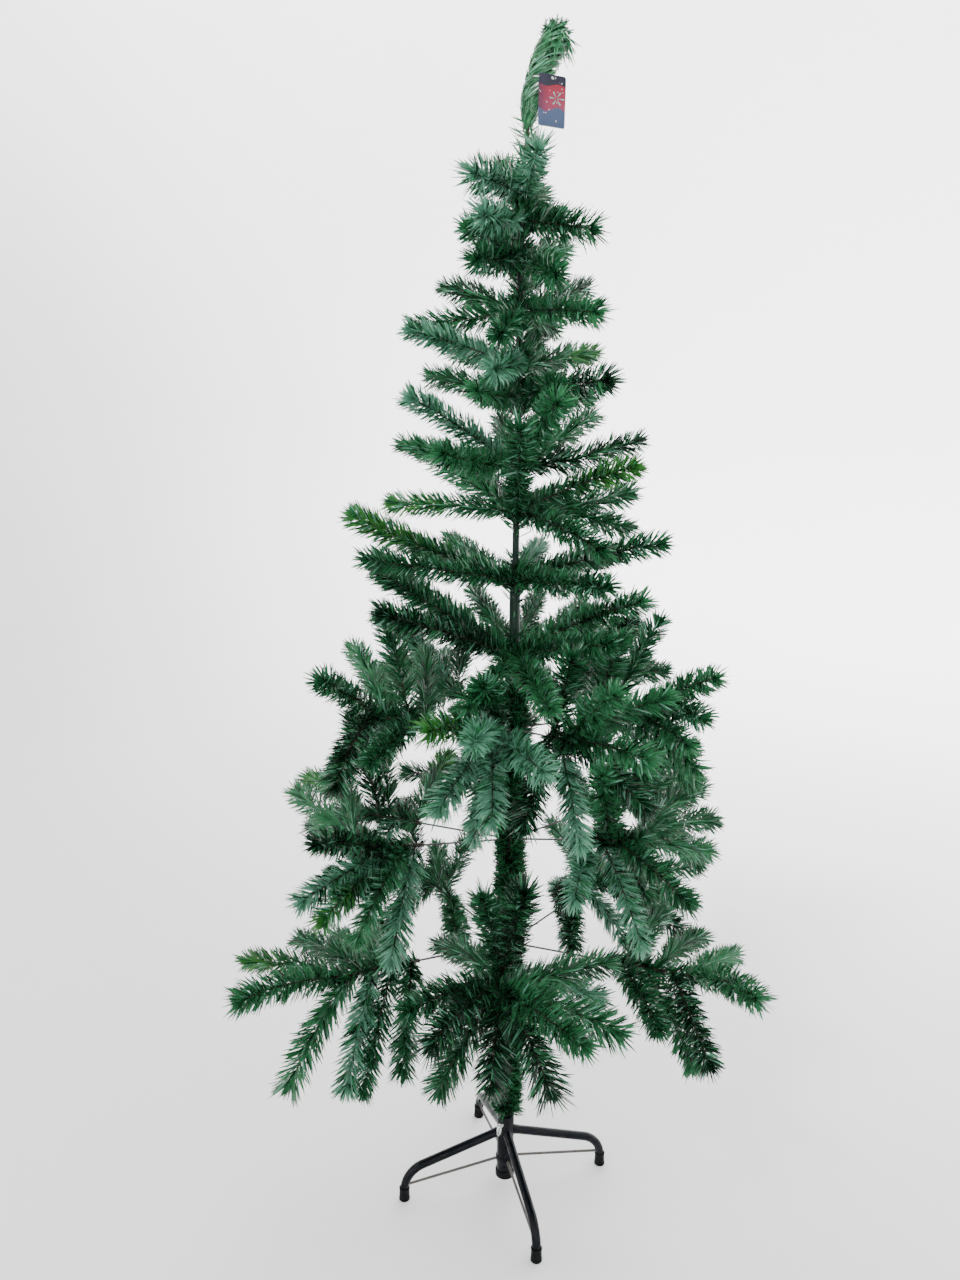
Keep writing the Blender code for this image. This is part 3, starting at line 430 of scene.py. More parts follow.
# Bough rods: bare painted steel wires that hook on the collars in three tiers. Each carries
# on as the stem of its foliage. A row gives side, height, azimuth, rise, rod to the first
# tip, rod to the last tip, tip length and each tip's (azimuth, rise); None is an even fan.
BOUGHS = (
    ("low_left", 0.430, -145, 5, 0.17, 0.31, 0.165,
     ((-89, -34), (117, -11), (-101, -42), (126, -7), (-100, -43), (136, -5), (-128, -43),
      (160, -4), (-127, 13))),
    ("low_front", 0.430, -93, 10, 0.15, 0.235, 0.165,
     ((-112, 63), (-68, 65), (128, -10), (19, -19), (-133, 9), (-119, 0), (-124, -31),
      (-94, -27), (-66, -18), (-52, 2), (-26, -3), (24, 4))),
    ("low_right", 0.430, -22, 2, 0.17, 0.31, 0.165,
     ((-76, -3), (63, 11), (-70, -24), (56, -5), (-81, -14), (51, -11), (-75, 20))),
    ("low_back_right", 0.430, 48, 8, 0.14, 0.27, 0.160,
     ((-90, 0), (-99, 25), (100, -19), (73, -3), (-35, -42), (112, 20), (-13, -4), (-22, -24),
      (0, 8), (45, 12))),
    ("low_back_left", 0.430, 132, 8, 0.15, 0.28, 0.160,
     ((-81, -4), (70, 24), (96, 5), (-150, -30), (114, -20), (170, -14), (-165, 4), (100, 30),
      (135, 5))),
    ("middle_left", 0.605, -142, 9, 0.17, 0.28, 0.160,
     ((-101, -46), (-111, -28), (-123, -18), (-128, -9), (-114, 21), (132, -7), (138, 14),
      (109, 24))),
    ("middle_right", 0.605, -42, 15, 0.15, 0.25, 0.160,
     ((-100, -6), (-56, 52), (-70, -36), (-102, 50), (-58, -12), (33, -16), (37, -1), (49, 13))),
    ("middle_back_right", 0.605, 28, 10, 0.14, 0.25, 0.160,
     ((99, 6), (-62, -35), (75, 12), (-10, 40), (-24, -33), (48, -12), (42, -2))),
    ("middle_back_left", 0.605, 170, 5, 0.15, 0.25, 0.160,
     ((75, 24), (100, -14), (-120, -32), (103, 60), (158, 72), (140, -22), (134, 6))),
    ("middle_back", 0.605, 100, 8, 0.14, 0.26, 0.160, None),
    ("high_left", 0.785, -152, 10, 0.14, 0.24, 0.150,
     ((95, 31), (-107, -7), (-158, 76), (114, 11), (150, -40), (120, 32), (-116, 31),
      (-100, -22))),
    ("high_front", 0.785, -101, 10, 0.11, 0.17, 0.150,
     ((-98, 38), (-122, 14), (-118, -24), (-103, -50), (-88, -28), (-64, -2), (-96, 12))),
    ("high_front_right", 0.785, -64, 8, 0.12, 0.19, 0.150,
     ((-108, -36), (-77, 59), (-76, -46), (-42, -24), (-49, 3), (-65, 37), (-20, 30))),
    ("high_right", 0.785, -28, 15, 0.13, 0.23, 0.150,
     ((-72, 56), (-14, -32), (22, 61), (-50, -18), (-66, -4), (-66, 10), (-60, 28))),
    ("high_back_right", 0.785, 52, 12, 0.13, 0.24, 0.150, None),
    ("high_back_left", 0.785, 128, 12, 0.13, 0.24, 0.150, None),
)
ROD_RADIUS = 0.0015
GAP = 0.0003


def heading(azimuth, rise):
    """Unit vector (cos a cos r, sin a cos r, sin r) of an azimuth and a rise in degrees."""
    turn, lift = math.radians(azimuth), math.radians(rise)
    return np.array((math.cos(turn) * math.cos(lift), math.sin(turn) * math.cos(lift),
                     math.sin(lift)))


def beside(way):
    """Level unit vector square to a way."""
    flat = np.cross(UP, way)
    return flat / np.linalg.norm(flat, axis=-1, keepdims=True)


rods = []
for side, height, azimuth, rise, bare, *_ in BOUGHS:
    way = heading(azimuth, rise)
    lean = math.tan(math.radians(abs(rise))) * ROD_RADIUS
    start = (COLLAR_RADIUS + GAP + lean) / math.cos(math.radians(rise))
    share = np.linspace(0, 1, 24)[:, None]
    straight = UP * height + way * (start * (1 - share) + (bare + 0.004) * share)
    hook = straight[0] + np.array([(0, 0, -0.0045), (0, 0, -0.0030), (0, 0, -0.0015)])
    path, radii = closed(np.vstack((hook, straight)), ROD_RADIUS)
    points, faces = carried(path, beside(way), radii, 12)
    rods.append((points, faces))
    count = int(bare / SAMPLE_STEP) + 1
    step = np.arange(count)[:, None] / count
    room.take("rod_" + side, UP * height + way * (start + step * (bare - GAP - start)), ROD_RADIUS)


def joined(shapes):
    """Several (points, faces) as one, each shape's faces counted on from the last one's points."""
    starts = np.cumsum([0] + [len(points) for points, faces in shapes[:-1]])
    return (np.vstack([points for points, faces in shapes]),
            np.vstack([faces + start for start, (points, faces) in zip(starts, shapes)]))


sleeve = Finish("painted_bough_wire", Metallic=0.35)
wear = sleeve.noise(240.0, 4.0)
bough_wire = sleeve.feed(
    Base_Color=sleeve.mix(wear, (0.016, 0.022, 0.020, 1), (0.085, 0.088, 0.080, 1)),
    Roughness=wear * 0.3 + 0.3)
add_piece("bough_rods", *joined(rods), bough_wire, "rod_steel",
          ["bough_rod_" + row[0] for row in BOUGHS])


# Hang tag: a glossy printed card on a white cord that is looped round the leader. Its
# print is a plain winter pattern of its own.
TAG_WIDTH, TAG_DEPTH, TAG_HEIGHT = 0.038, 0.0010, 0.070
TAG_CENTRE = np.array((0.0385, -0.034, 1.682))
TAG_TURN = math.radians(24)
TAG_HOLE = 0.0021
CARD_WIDTH, CARD_HEIGHT, CARD_DROP = 0.041, 0.066, 0.0065
EYELET_DROP = 0.004
CORD_RADIUS = 0.0007
LOOP_SPREAD = 0.0145
LOOP_STEPS = 24
LOOP_ROOM = 0.006
LEADER_ROUTE = np.array(((0.000, 1.5992), (0.005, 1.630), (0.007, 1.662), (0.011, 1.692),
                         (0.021, 1.718), (0.030, 1.742), (0.039, 1.763), (0.044, 1.782)))
LOOP_KNOT = 4
LEADER_CORE = 0.0055


def loop_points(steps, eyelet_height):
    """The cord's oval: centre + long cos a + cross sin a, from behind the stem to the card."""
    eyelet = TAG_CENTRE + UP * eyelet_height
    knot = LEADER_ROUTE[LOOP_KNOT]
    stem = np.array((knot[0], 0.0, knot[1]))
    reach = eyelet - stem
    far = stem - reach / np.linalg.norm(reach) * (LEADER_CORE + CORD_RADIUS + GAP)
    long_side = (eyelet - far) / 2
    turn = (np.arange(steps) * 2 * math.pi / steps)[:, None]
    return (far + eyelet) / 2 + long_side * np.cos(turn) + beside(long_side) * LOOP_SPREAD * \
        np.sin(turn), np.cross(long_side, beside(long_side))


def on_card(across, depth, rise):
    """A point of the card by its distance across, in depth and up from the card's middle."""
    return TAG_CENTRE + np.stack((across * math.cos(TAG_TURN) - depth * math.sin(TAG_TURN),
                                  across * math.sin(TAG_TURN) + depth * math.cos(TAG_TURN),
                                  rise), axis=-1)


# The card's rings run from the eyelet's rim out to the rounded edge, on the front, over the
# edge and back over the rear.
turn = np.arange(96) * 2 * math.pi / 96
square = (np.abs(np.cos(turn)) ** 24 + np.abs(np.sin(turn)) ** 24) ** (-1 / 24)
edge = np.stack((np.cos(turn) * square * CARD_WIDTH / 2, np.sin(turn) * square * CARD_HEIGHT / 2), -1)
hole = np.stack((np.cos(turn) * TAG_HOLE,
                 np.sin(turn) * TAG_HOLE + CARD_HEIGHT / 2 - EYELET_DROP), axis=-1)
spread = np.array((0.0, 0.15, 0.35, 0.6, 0.8, 0.985, 1.0, 0.985, 0.8, 0.6, 0.35, 0.15, 0.0, 0.0))
depth = np.array((-1, -1, -1, -1, -1, -1, 0, 1, 1, 1, 1, 1, 1, -1)) * TAG_DEPTH / 2
flat = hole + (edge - hole) * spread[:, None, None]
curl = 0.0006 * np.sin(flat[..., 1] / CARD_HEIGHT * math.pi)
card = on_card(flat[..., 0], depth[:, None] - curl, flat[..., 1] - CARD_DROP).reshape(-1, 3)
card_piece_faces = wrapped_quads(len(spread), 96)

print_work = Finish("printed_card", Roughness=0.25, Specular_IOR_Level=0.3)
turned_place = print_work.node("Mapping", {"vector_type": "TEXTURE"}, {
    "Vector": print_work.place, "Location": tuple(TAG_CENTRE + AXIS - UP * CARD_DROP),
    "Rotation": (0, 0, TAG_TURN), "Scale": (CARD_WIDTH, TAG_DEPTH, CARD_HEIGHT)})
axes = print_work.node("SeparateXYZ", {}, {0: turned_place})
across = axes
upward = Value(print_work, axes.socket.node.outputs["Z"])
rear = Value(print_work, axes.socket.node.outputs["Y"]) > 0.3
wave = across.math("SINE", across * 7.0, 0.0)
hills = (wave * 0.05 - 0.16) > upward
night = upward > (wave * 0.03 + 0.30)
ink = print_work.mix(upward + 0.5, (0.16, 0.036, 0.080, 1), (0.20, 0.0015, 0.007, 1))
ink = print_work.mix(night, ink, (0.006, 0.006, 0.016, 1))
ink = print_work.mix((across * -2.4 - 0.35) * 0.9, ink, (0.012, 0.012, 0.030, 1))
ink = print_work.mix(hills, ink, (0.036, 0.055, 0.108, 1))
far_x, far_z = across - 0.17, (upward - 0.06) * 1.95
ring = far_x.math("SQRT", far_x * far_x + far_z * far_z, 0.0)
spoke_turn = far_x.math("ARCTAN2", far_z, far_x)
spokes = spoke_turn.math("ABSOLUTE", spoke_turn.math("SINE", spoke_turn * 3.0, 0.0), 0.0)
flake = (ring < 0.26) * ((ring * 0.3 + 0.02) * 3.2 > spokes)
ink = print_work.mix(flake, ink, (0.10, 0.40, 0.38, 1))
snow = print_work.node("TexVoronoi", {}, {"Vector": turned_place, "Scale": 7.0}) < 0.13
ink = print_work.mix(snow * 0.8, ink, (0.55, 0.60, 0.64, 1))
ink = print_work.mix(rear, ink, (0.40, 0.39, 0.37, 1))
printed = print_work.feed(Base_Color=ink)
add_piece("tag_card", card, card_piece_faces, printed, "tag_card", ["hang_tag"])

oval, oval_side = loop_points(96, CARD_HEIGHT / 2 - EYELET_DROP - CARD_DROP)
oval = np.vstack((oval, oval[:1]))
cord, cord_faces = carried(oval, oval_side / np.linalg.norm(oval_side), CORD_RADIUS, 8, 0.18)
string = Finish("white_cord", Roughness=0.8)
fuzz = string.noise(1500.0, 2.0)
white_cord = string.feed(Base_Color=string.mix(fuzz, (0.52, 0.52, 0.50, 1), (0.82, 0.82, 0.79, 1)))
add_piece("tag_cord", cord, cord_faces, white_cord, "tag_card", ["hang_tag"])

solid_loop = loop_points(LOOP_STEPS, TAG_HEIGHT / 2 - EYELET_DROP)[0]
onward = np.roll(solid_loop, -1, axis=0)
for share in (0.0, 0.25, 0.5, 0.75):
    room.take("hang_tag", solid_loop * (1 - share) + onward * share, LOOP_ROOM)
grid_x, grid_z = np.meshgrid(np.linspace(-TAG_WIDTH / 2, TAG_WIDTH / 2, 7),
                             np.linspace(-TAG_HEIGHT / 2, TAG_HEIGHT / 2, 13))
room.take("hang_tag", on_card(grid_x.ravel(), np.zeros(grid_x.size), grid_z.ravel()),
          TAG_WIDTH / 10)


# Leader: the top shoot. It stands on the pole, thin at its foot, and its tip is folded back
# and wrapped round itself, as it comes out of the box.
def leader_at(height):
    """The stem's point at each height."""
    aside = np.interp(height, LEADER_ROUTE[:, 1], LEADER_ROUTE[:, 0])
    return np.stack((aside, np.zeros_like(aside), height), axis=-1)


route = np.stack((LEADER_ROUTE[:, 0], np.zeros(len(LEADER_ROUTE)), LEADER_ROUTE[:, 1]), axis=-1)
fine = np.linspace(0, len(route) - 1, 40)
stem_samples = np.column_stack([np.interp(fine, np.arange(len(route)), axis) for axis in route.T])
room.take("leader", stem_samples, LEADER_CORE)

wire = Finish("twisted_brown_wire", Roughness=0.6, Metallic=0.2)
rust = wire.noise(120.0, 5.0)
brown_wire = wire.feed(
    Base_Color=wire.mix(rust, (0.010, 0.015, 0.008, 1), (0.045, 0.030, 0.018, 1)),
    Normal=wire.bump(wire.noise(1400.0, 2.0), 0.4, 0.0003))
heights = np.linspace(1.5988, 1.782, 90)
stem_path, stem_radii = closed(leader_at(heights), 0.0030)
add_piece("leader_stem", *carried(stem_path, (0, 1, 0), stem_radii, 10, 0.2), brown_wire,
          "foliage", ["leader"])


# Needled tips: strips of green plastic film held between two twisted wires. The whorls'
# tips are bound straight on the pole: name, then for each height its tip length and
# headings. The boughs' tips stand along the stem that carries on from each rod.
WHORLS = (
    ("whorl_1", ((0.905, 0.240, ((-176, 37), (-152, 32), (-137, 19), (107, 16), (81, 14),
                                 (62, 11), (-46, 24), (-60, 12), (-104, -8), (-80, -6),
                                 (138, 6), (45, 2))),)),
    ("whorl_2", ((1.018, 0.235, ((-162, 22), (-146, 9), (119, 12), (-36, 16), (-61, 3), (80, 9),
                                 (48, 6), (140, 12), (62, -6))),)),
    ("whorl_3", ((1.120, 0.200, ((161, 2), (150, 29), (-89, 32), (110, 20), (-36, 19), (32, 8),
                                 (30, -8), (-57, -13), (72, 4))),
                 (1.185, 0.190, ((-140, 26), (-120, 4), (26, 12), (-75, 23), (50, 26), (98, 24),
                                 (150, 10))))),
    ("whorl_4", ((1.281, 0.160, ((144, 15), (-50, 5), (-108, -1), (-73, 1), (72, 21),
                                 (112, 8), (50, 6))),)),
    ("whorl_5", ((1.331, 0.155, ((-150, 12), (47, 12), (130, 14), (78, 26), (-101, -10),
                                 (100, 4))),)),
    ("whorl_6", ((1.405, 0.145, ((-176, -9), (141, 21), (-51, -8), (49, 21), (-100, -21),
                                 (92, 14), (70, 0))),)),
    ("whorl_7", ((1.474, 0.118, ((-124, 10), (-118, -10), (-67, -20), (60, 20), (112, 24),
                                 (85, 2))),)),
    ("whorl_8", ((1.529, 0.116, ((-38, -14), (-114, -10), (63, 17), (110, 6))),
                 (1.565, 0.100, ((-125, 0), (110, 36), (75, 14), (-80, 14))))),
)
STEM_RADIUS = 0.0045
RING_WALL = 0.0042
ROOT_INSET = 0.0004
TIP_BOW = 0.045
WHORL_BOW = 0.004
BOW_SPREAD = 0.03
TIP_END_NEEDLE = 0.020
NUDGE = 4
NUDGE_TRIES = 14
NUDGE_SHARES = ((0.0, 1.0), (1.0, 0.4))
FAN_COUNT = 8
FAN_SPREAD = 62
FAN_TURN = 137.5
FAN_CLOSING = 0.8


def tip_line(root, way, reach, bow, along):
    """root + t reach way, and up by 4 t (1 - t) bow reach, for each share t along the tip."""
    along = along[..., None]
    return root + along * reach * way + 4 * along * (1 - along) * bow * reach * UP


def clear_way(owner, root, azimuth, rise, reach, bow):
    """The heading, or the nearest one up or aside by small steps, that clears other masses."""
    along = np.linspace(0, 1, int(reach / SAMPLE_STEP) + 1)
    ends = np.linspace(0.25, 1, 4)[:, None] * TIP_END_NEEDLE
    for step in range(NUDGE_TRIES):
        swing = NUDGE * ((step + 1) // 2) * (1 if step % 2 else -1)
        for azimuth_share, rise_share in NUDGE_SHARES:
            way = heading(azimuth + swing * azimuth_share, rise + swing * rise_share)
            line = tip_line(root, way, reach, bow, along)
            onward = (line[-1] - line[-2]) / np.linalg.norm(line[-1] - line[-2])
            samples = np.vstack((line, line[-1] + ends * onward))
            if room.left(owner, samples[ROOT_SAMPLES:], CORE_RADIUS) > \
                    TIP_SPACING - 2 * CORE_RADIUS:
                return way, samples
    return heading(azimuth, rise), samples


def fan(azimuth, rise):
    """Headings that open evenly round a rod: spread cos and sin of turns of 137.5 degrees."""
    rows = []
    for index in range(FAN_COUNT):
        spread = FAN_SPREAD * (1 - FAN_CLOSING * index / (FAN_COUNT - 1))
        turn = math.radians(FAN_TURN * index)
        rows.append((azimuth + spread * math.cos(turn), rise + spread * math.sin(turn)))
    return rows


tips = []


def grow_tips(owner, roots, headings, length, mid_bow, before=0):
    """Settle each tip of a mass: its bow and reach by a seeded draw, its way clear of others."""
    chance = random.Random(owner + str(before))
    for number, (root, (azimuth, rise)) in enumerate(zip(roots, headings), start=before + 1):
        bow = mid_bow + chance.uniform(-BOW_SPREAD, BOW_SPREAD)
        reach = length * chance.uniform(0.95, 1.05)
        twist = chance.uniform(0, 2 * math.pi)
        way, samples = clear_way(owner, root, azimuth, rise, reach, bow)
        room.take(owner, samples, CORE_RADIUS)
        tips.append((owner, number, root, way, reach, bow, twist))
    return before + len(headings)


for name, rows in WHORLS:
    pole_here = POLE_RADIUS if rows[-1][0] < POLE_JOINT else UPPER_RADIUS
    ring = pole_here + GAP + RING_WALL - ROOT_INSET
    placed = 0
    for height, length, headings in rows:
        roots = [heading(azimuth, 0) * ring + UP * height for azimuth, rise in headings]
        placed = grow_tips(name, roots, headings, length, WHORL_BOW, placed)
stems = []
for side, height, azimuth, rise, bare, reach, length, headings in BOUGHS:
    headings = headings or fan(azimuth, rise)
    stations = np.linspace(bare + CORE_RADIUS + STEM_RADIUS, reach - STEM_RADIUS, len(headings))
    way = heading(azimuth, rise)
    roots = UP * height + way * stations[:, None]
    room.take("bough_foliage_" + side, roots, STEM_RADIUS)
    grow_tips("bough_foliage_" + side, roots, headings, length, TIP_BOW)
    stems.append((UP * height + way * bare, way, reach - bare))
masses = [name for name, rows in WHORLS] + ["bough_foliage_" + row[0] for row in BOUGHS]


# Core wires: each tip's two wires are twisted together, and each bough's stem is the bundle
# of its tips' wires, bound round.
CORE_STEPS = 40
TRIMMED = {("bough_foliage_low_front", 8): 0.82}
TWIST_RADIUS = 0.0014
root, way = np.array([tip[2] for tip in tips]), np.array([tip[3] for tip in tips])
reach = np.array([tip[4] * TRIMMED.get(tip[:2], 1.0) for tip in tips])
bow = np.array([tip[5] for tip in tips])
along = np.linspace(0, 1, CORE_STEPS)
cores = tip_line(root[:, None], way[:, None], reach[:, None, None], bow[:, None, None],
                 np.broadcast_to(along, (len(tips), CORE_STEPS)))
core_radius = TWIST_RADIUS * (1 - 0.35 * along)
core_radius[-1] = 0.0002
add_piece("tip_wires", *carried(cores, beside(way)[:, None], core_radius, 6, 0.3), brown_wire,
          "foliage", masses)

bundles = []
for start, way_out, length in stems:
    share = np.linspace(-0.004 / length, 1, 40)
    path, radii = closed(start + way_out * (share * length)[:, None], 0.0031 - 0.0012 * share)
    bundles.append(carried(path, beside(way_out), radii, 12, 0.16))
add_piece("stem_bundles", *joined(bundles), brown_wire, "foliage",
          [name for name in masses if name.startswith("bough")])


# Needles: each film strip is pinched at its middle by the wires, so that its two halves
# stand out opposite each other, swept toward the tip's end. Each half is a tapering strip.
NEEDLE_LENGTH = 0.034
NEEDLE_WIDTH = 0.0023
PAIRS_PER_METRE = 1750
SWEEP = math.radians(51)
# Plain film colours. The palest stands partly for paler film and partly for painted sheen; the
# near-black shadow shade is painted shade, dealt out among the others.
SHADES = {"bottle": (0.0085, 0.072, 0.0255), "spruce": (0.0240, 0.142, 0.0540),
          "frost": (0.100, 0.270, 0.175), "fresh": (0.028, 0.150, 0.025),
          "shadow": (0.0028, 0.0250, 0.0095)}
SHADE_SHARES = (0.42, 0.34, 0.08, 0.02, 0.14)
OTHER_STRIP = 0.42
# Tips given the palest shade, partly for their paler film and partly as painted sheen.
PALE_AND_SHEEN_TIPS = {("bough_foliage_middle_left", 1), ("bough_foliage_high_front_right", 3),
              ("bough_foliage_high_front", 4), ("bough_foliage_high_front", 5),
              ("bough_foliage_high_front", 6), ("bough_foliage_middle_right", 3),
              ("bough_foliage_high_front", 3), ("bough_foliage_middle_right", 1),
              ("whorl_8", 2), ("whorl_8", 5), ("whorl_8", 8)}
FRESH_TIPS = {("whorl_2", 1), ("whorl_3", 1), ("whorl_5", 2), ("whorl_3", 5),
              ("bough_foliage_high_front", 2), ("bough_foliage_low_back_right", 4),
              ("bough_foliage_low_left", 8), ("bough_foliage_middle_back_left", 1)}
FULLNESS = {"bough_foliage_low_front": 1.12, "whorl_7": 1.08, "whorl_8": 1.12}
STRIP_SHARES = np.array((0.0, 0.34, 0.74, 1.0))
STRIP_WIDTHS = np.array((0.6, 1.0, 0.9, 0.25))
draw = np.random.default_rng(24)


def strips(base, onward, outward, length, sweep, width, roll, curl, sway):
    """Tapering strips, one per row: base + L (u d + curl u^2 b + sway u^2 s), where d leans
    from outward to onward by the sweep, b is square to d toward onward, and s is across both.
    The width lies along cos(roll) s + sin(roll) b."""
    lean, rise = np.cos(sweep)[:, None], np.sin(sweep)[:, None]
    ahead = lean * onward + rise * outward
    inward = rise * onward - lean * outward
    aside = np.cross(onward, outward)
    u = STRIP_SHARES[None, :, None]
    line = base[:, None] + length[:, None, None] * (
        u * ahead[:, None] + u ** 2 * (curl[:, None] * inward + sway[:, None] * aside)[:, None])
    flat = np.cos(roll)[:, None] * aside + np.sin(roll)[:, None] * inward
    half = (width[:, None] * STRIP_WIDTHS / 2)[..., None] * flat[:, None]
    points = np.stack((line - half, line + half), axis=2)
    row = np.arange(len(STRIP_SHARES) - 1)[:, None] * 2
    quads = row + np.array((0, 1, 3, 2))
    starts = np.arange(len(base))[:, None, None] * 2 * len(STRIP_SHARES)
    return points.reshape(-1, 3), (quads[None] + starts).reshape(-1, 4)


def along_tips(count, owner_of):
    """Root share, base and onward for strips dealt along the tips, and two axes square to onward."""
    share = draw.random(count) ** 0.92
    spot = share[:, None]
    base = tip_line(root[owner_of], way[owner_of], reach[owner_of][:, None],
                    bow[owner_of][:, None], share)
    onward = way[owner_of] + 4 * (1 - 2 * spot) * bow[owner_of][:, None] * UP
    onward /= np.linalg.norm(onward, axis=1, keepdims=True)
    level = beside(way)[owner_of]
    return share, base, onward, level, np.cross(onward, level)


pairs = np.repeat(np.arange(len(tips)), (reach * PAIRS_PER_METRE).astype(int))
share, base, onward, level, over = along_tips(len(pairs), pairs)
spin = draw.uniform(0, 2 * math.pi, len(pairs))
full = np.array([FULLNESS.get(tip[0], 1.0) for tip in tips])
girth = (draw.uniform(0.86, 1.04, len(tips)) * full)[pairs]
taper = draw.uniform(-0.05, 0.18, len(tips))[pairs]
tip_shade = []
for owner, number, *_ in tips:
    if (owner, number) in PALE_AND_SHEEN_TIPS:
        tip_shade.append(2)
    elif (owner, number) in FRESH_TIPS:
        tip_shade.append(3)
    else:
        tip_shade.append(int(draw.choice(5, p=SHADE_SHARES)))
shade = np.array(tip_shade)[pairs]
# Some strips take another shade at random: the palest among them stand partly for painted glints, the
# near-black ones for painted shade.
mixed = draw.random(len(pairs)) < OTHER_STRIP
shade = np.where(mixed, draw.choice((0, 1, 1, 2, 4), len(pairs)), shade)
shade = np.where((shade == 3) & (share < draw.uniform(0.35, 0.8, len(pairs))), 0, shade)

halves = []
for half in (0, 1):
    angle = spin + half * math.pi + draw.normal(0, 0.28, len(pairs))
    outward = np.cos(angle)[:, None] * level + np.sin(angle)[:, None] * over
    near_end = np.clip((share - 0.88) / 0.12, 0, 1)
    swell = 0.72 + 0.28 * np.clip(share / 0.18, 0, 1)
    length = NEEDLE_LENGTH * girth * swell * (1 - taper * np.clip((share - 0.6) / 0.4, 0, 1)) * \
        draw.uniform(0.82, 1.08, len(pairs))
    sweep = SWEEP * (1 - 0.22 * near_end) * draw.normal(1.0, 0.085, len(pairs))
    width = NEEDLE_WIDTH * draw.uniform(0.75, 1.15, len(pairs))
    roll = draw.uniform(0, math.pi, len(pairs))
    curl = draw.normal(0.03, 0.04, len(pairs))
    sway = draw.normal(0.0, 0.045, len(pairs))
    halves.append((base, onward, outward, length, sweep, width, roll, curl, sway, shade))

# Strips at the very end of a tip close it with a blunt tuft.
END_STRIPS = 44
ends = np.repeat(np.arange(len(tips)), END_STRIPS)
end_way = way - 4 * bow[:, None] * UP
end_way /= np.linalg.norm(end_way, axis=1, keepdims=True)
end_level = beside(way)[ends]
end_over = np.cross(end_way[ends], end_level)
angle = draw.uniform(0, 2 * math.pi, len(ends))
halves.append((tip_line(root, way, reach[:, None], bow[:, None], np.ones(len(tips)))[ends],
               end_way[ends], np.cos(angle)[:, None] * end_level + np.sin(angle)[:, None] * end_over,
               draw.uniform(0.012, 0.026, len(ends)), draw.uniform(0.05, 1.0, len(ends)),
               np.full(len(ends), NEEDLE_WIDTH), draw.uniform(0, math.pi, len(ends)),
               draw.normal(0.0, 0.08, len(ends)), draw.normal(0, 0.08, len(ends)),
               np.array(tip_shade)[ends]))

# Shorter strips stand along each bough's stem, and round the pole where a whorl is bound.
STEM_STRIPS = 3400
WRAP_STRIPS = 340
for start, way_out, length in stems:
    count = int(length * STEM_STRIPS)
    angle = draw.uniform(0, 2 * math.pi, count)
    level_out = beside(way_out)
    over_out = np.cross(way_out, level_out)
    halves.append((start + way_out * (draw.random(count) * length)[:, None],
                   np.broadcast_to(way_out, (count, 3)),
                   np.cos(angle)[:, None] * level_out + np.sin(angle)[:, None] * over_out,
                   draw.uniform(0.019, 0.028, count), draw.normal(1.0, 0.16, count),
                   np.full(count, NEEDLE_WIDTH), draw.uniform(0, math.pi, count),
                   draw.normal(0.1, 0.08, count), draw.normal(0, 0.1, count),
                   draw.choice((0, 0, 1, 4), count)))
for name, rows in WHORLS:
    for height, length, headings in rows:
        angle = draw.uniform(0, 2 * math.pi, WRAP_STRIPS)
        outward = np.stack((np.cos(angle), np.sin(angle), np.zeros(WRAP_STRIPS)), axis=-1)
        levels = height + draw.normal(0, 0.016, WRAP_STRIPS)
        halves.append((outward * UPPER_RADIUS + UP * levels[:, None],
                       np.broadcast_to(UP, (WRAP_STRIPS, 3)), outward,
                       draw.uniform(0.016, 0.027, WRAP_STRIPS),
                       draw.normal(1.05, 0.2, WRAP_STRIPS), np.full(WRAP_STRIPS, NEEDLE_WIDTH),
                       draw.uniform(0, math.pi, WRAP_STRIPS),
                       draw.normal(0.1, 0.1, WRAP_STRIPS), draw.normal(0, 0.1, WRAP_STRIPS),
                       draw.choice((0, 1, 4), WRAP_STRIPS)))

columns = [np.concatenate(parts) for parts in zip(*halves)]
shade_of_strip = columns.pop()
STRIPS_PER_PIECE = 32000
needle_finishes = []
for index, (name, colour) in enumerate(SHADES.items()):
    film = Finish("film_" + name, Specular_IOR_Level=0.42)
    tone = film.noise(55.0, 3.0)
    pale = tuple(channel * 1.45 + 0.004 for channel in colour)
    deep = tuple(channel * 0.62 for channel in colour)
    needle_finishes.append(film.feed(Base_Color=film.mix(tone, (*deep, 1), (*pale, 1)),
                                     Roughness=film.noise(210.0, 2.0) * 0.20 + 0.14))
    mine = np.flatnonzero(shade_of_strip == index)
    for part, chosen in enumerate(np.array_split(mine, -(-len(mine) // STRIPS_PER_PIECE)), 1):
        add_piece(f"needles_{name}_{part}", *strips(*[column[chosen] for column in columns]),
                  needle_finishes[-1], "foliage", masses, weld=False)


# Tinsel: a strand of the same strips wound round the lower pole. It runs straight up past
# each collar, between two of the boughs.
STRAND_KNOTS = ((0.131, 60), (0.417, -57 + 360 * 7), (0.443, -57 + 360 * 7),
                (0.592, -92 + 360 * 11), (0.618, -92 + 360 * 11), (0.772, 12 + 360 * 15),
                (0.798, 12 + 360 * 15), (0.850, 12 + 360 * 16))
STRAND_RADIUS = 0.003
STRAND_STRIPS = 16000
STRAND_CROWDING = 1.15
knot_heights, knot_turns = zip(*STRAND_KNOTS)
winding = COLLAR_RADIUS + GAP + STRAND_RADIUS


def strand_at(height):
    """Helix (R cos a, R sin a, z), its turn a read between the knots at each height z."""
    turn = np.interp(height, knot_heights, np.radians(knot_turns))
    return np.stack((winding * np.cos(turn), winding * np.sin(turn), height), axis=-1), turn


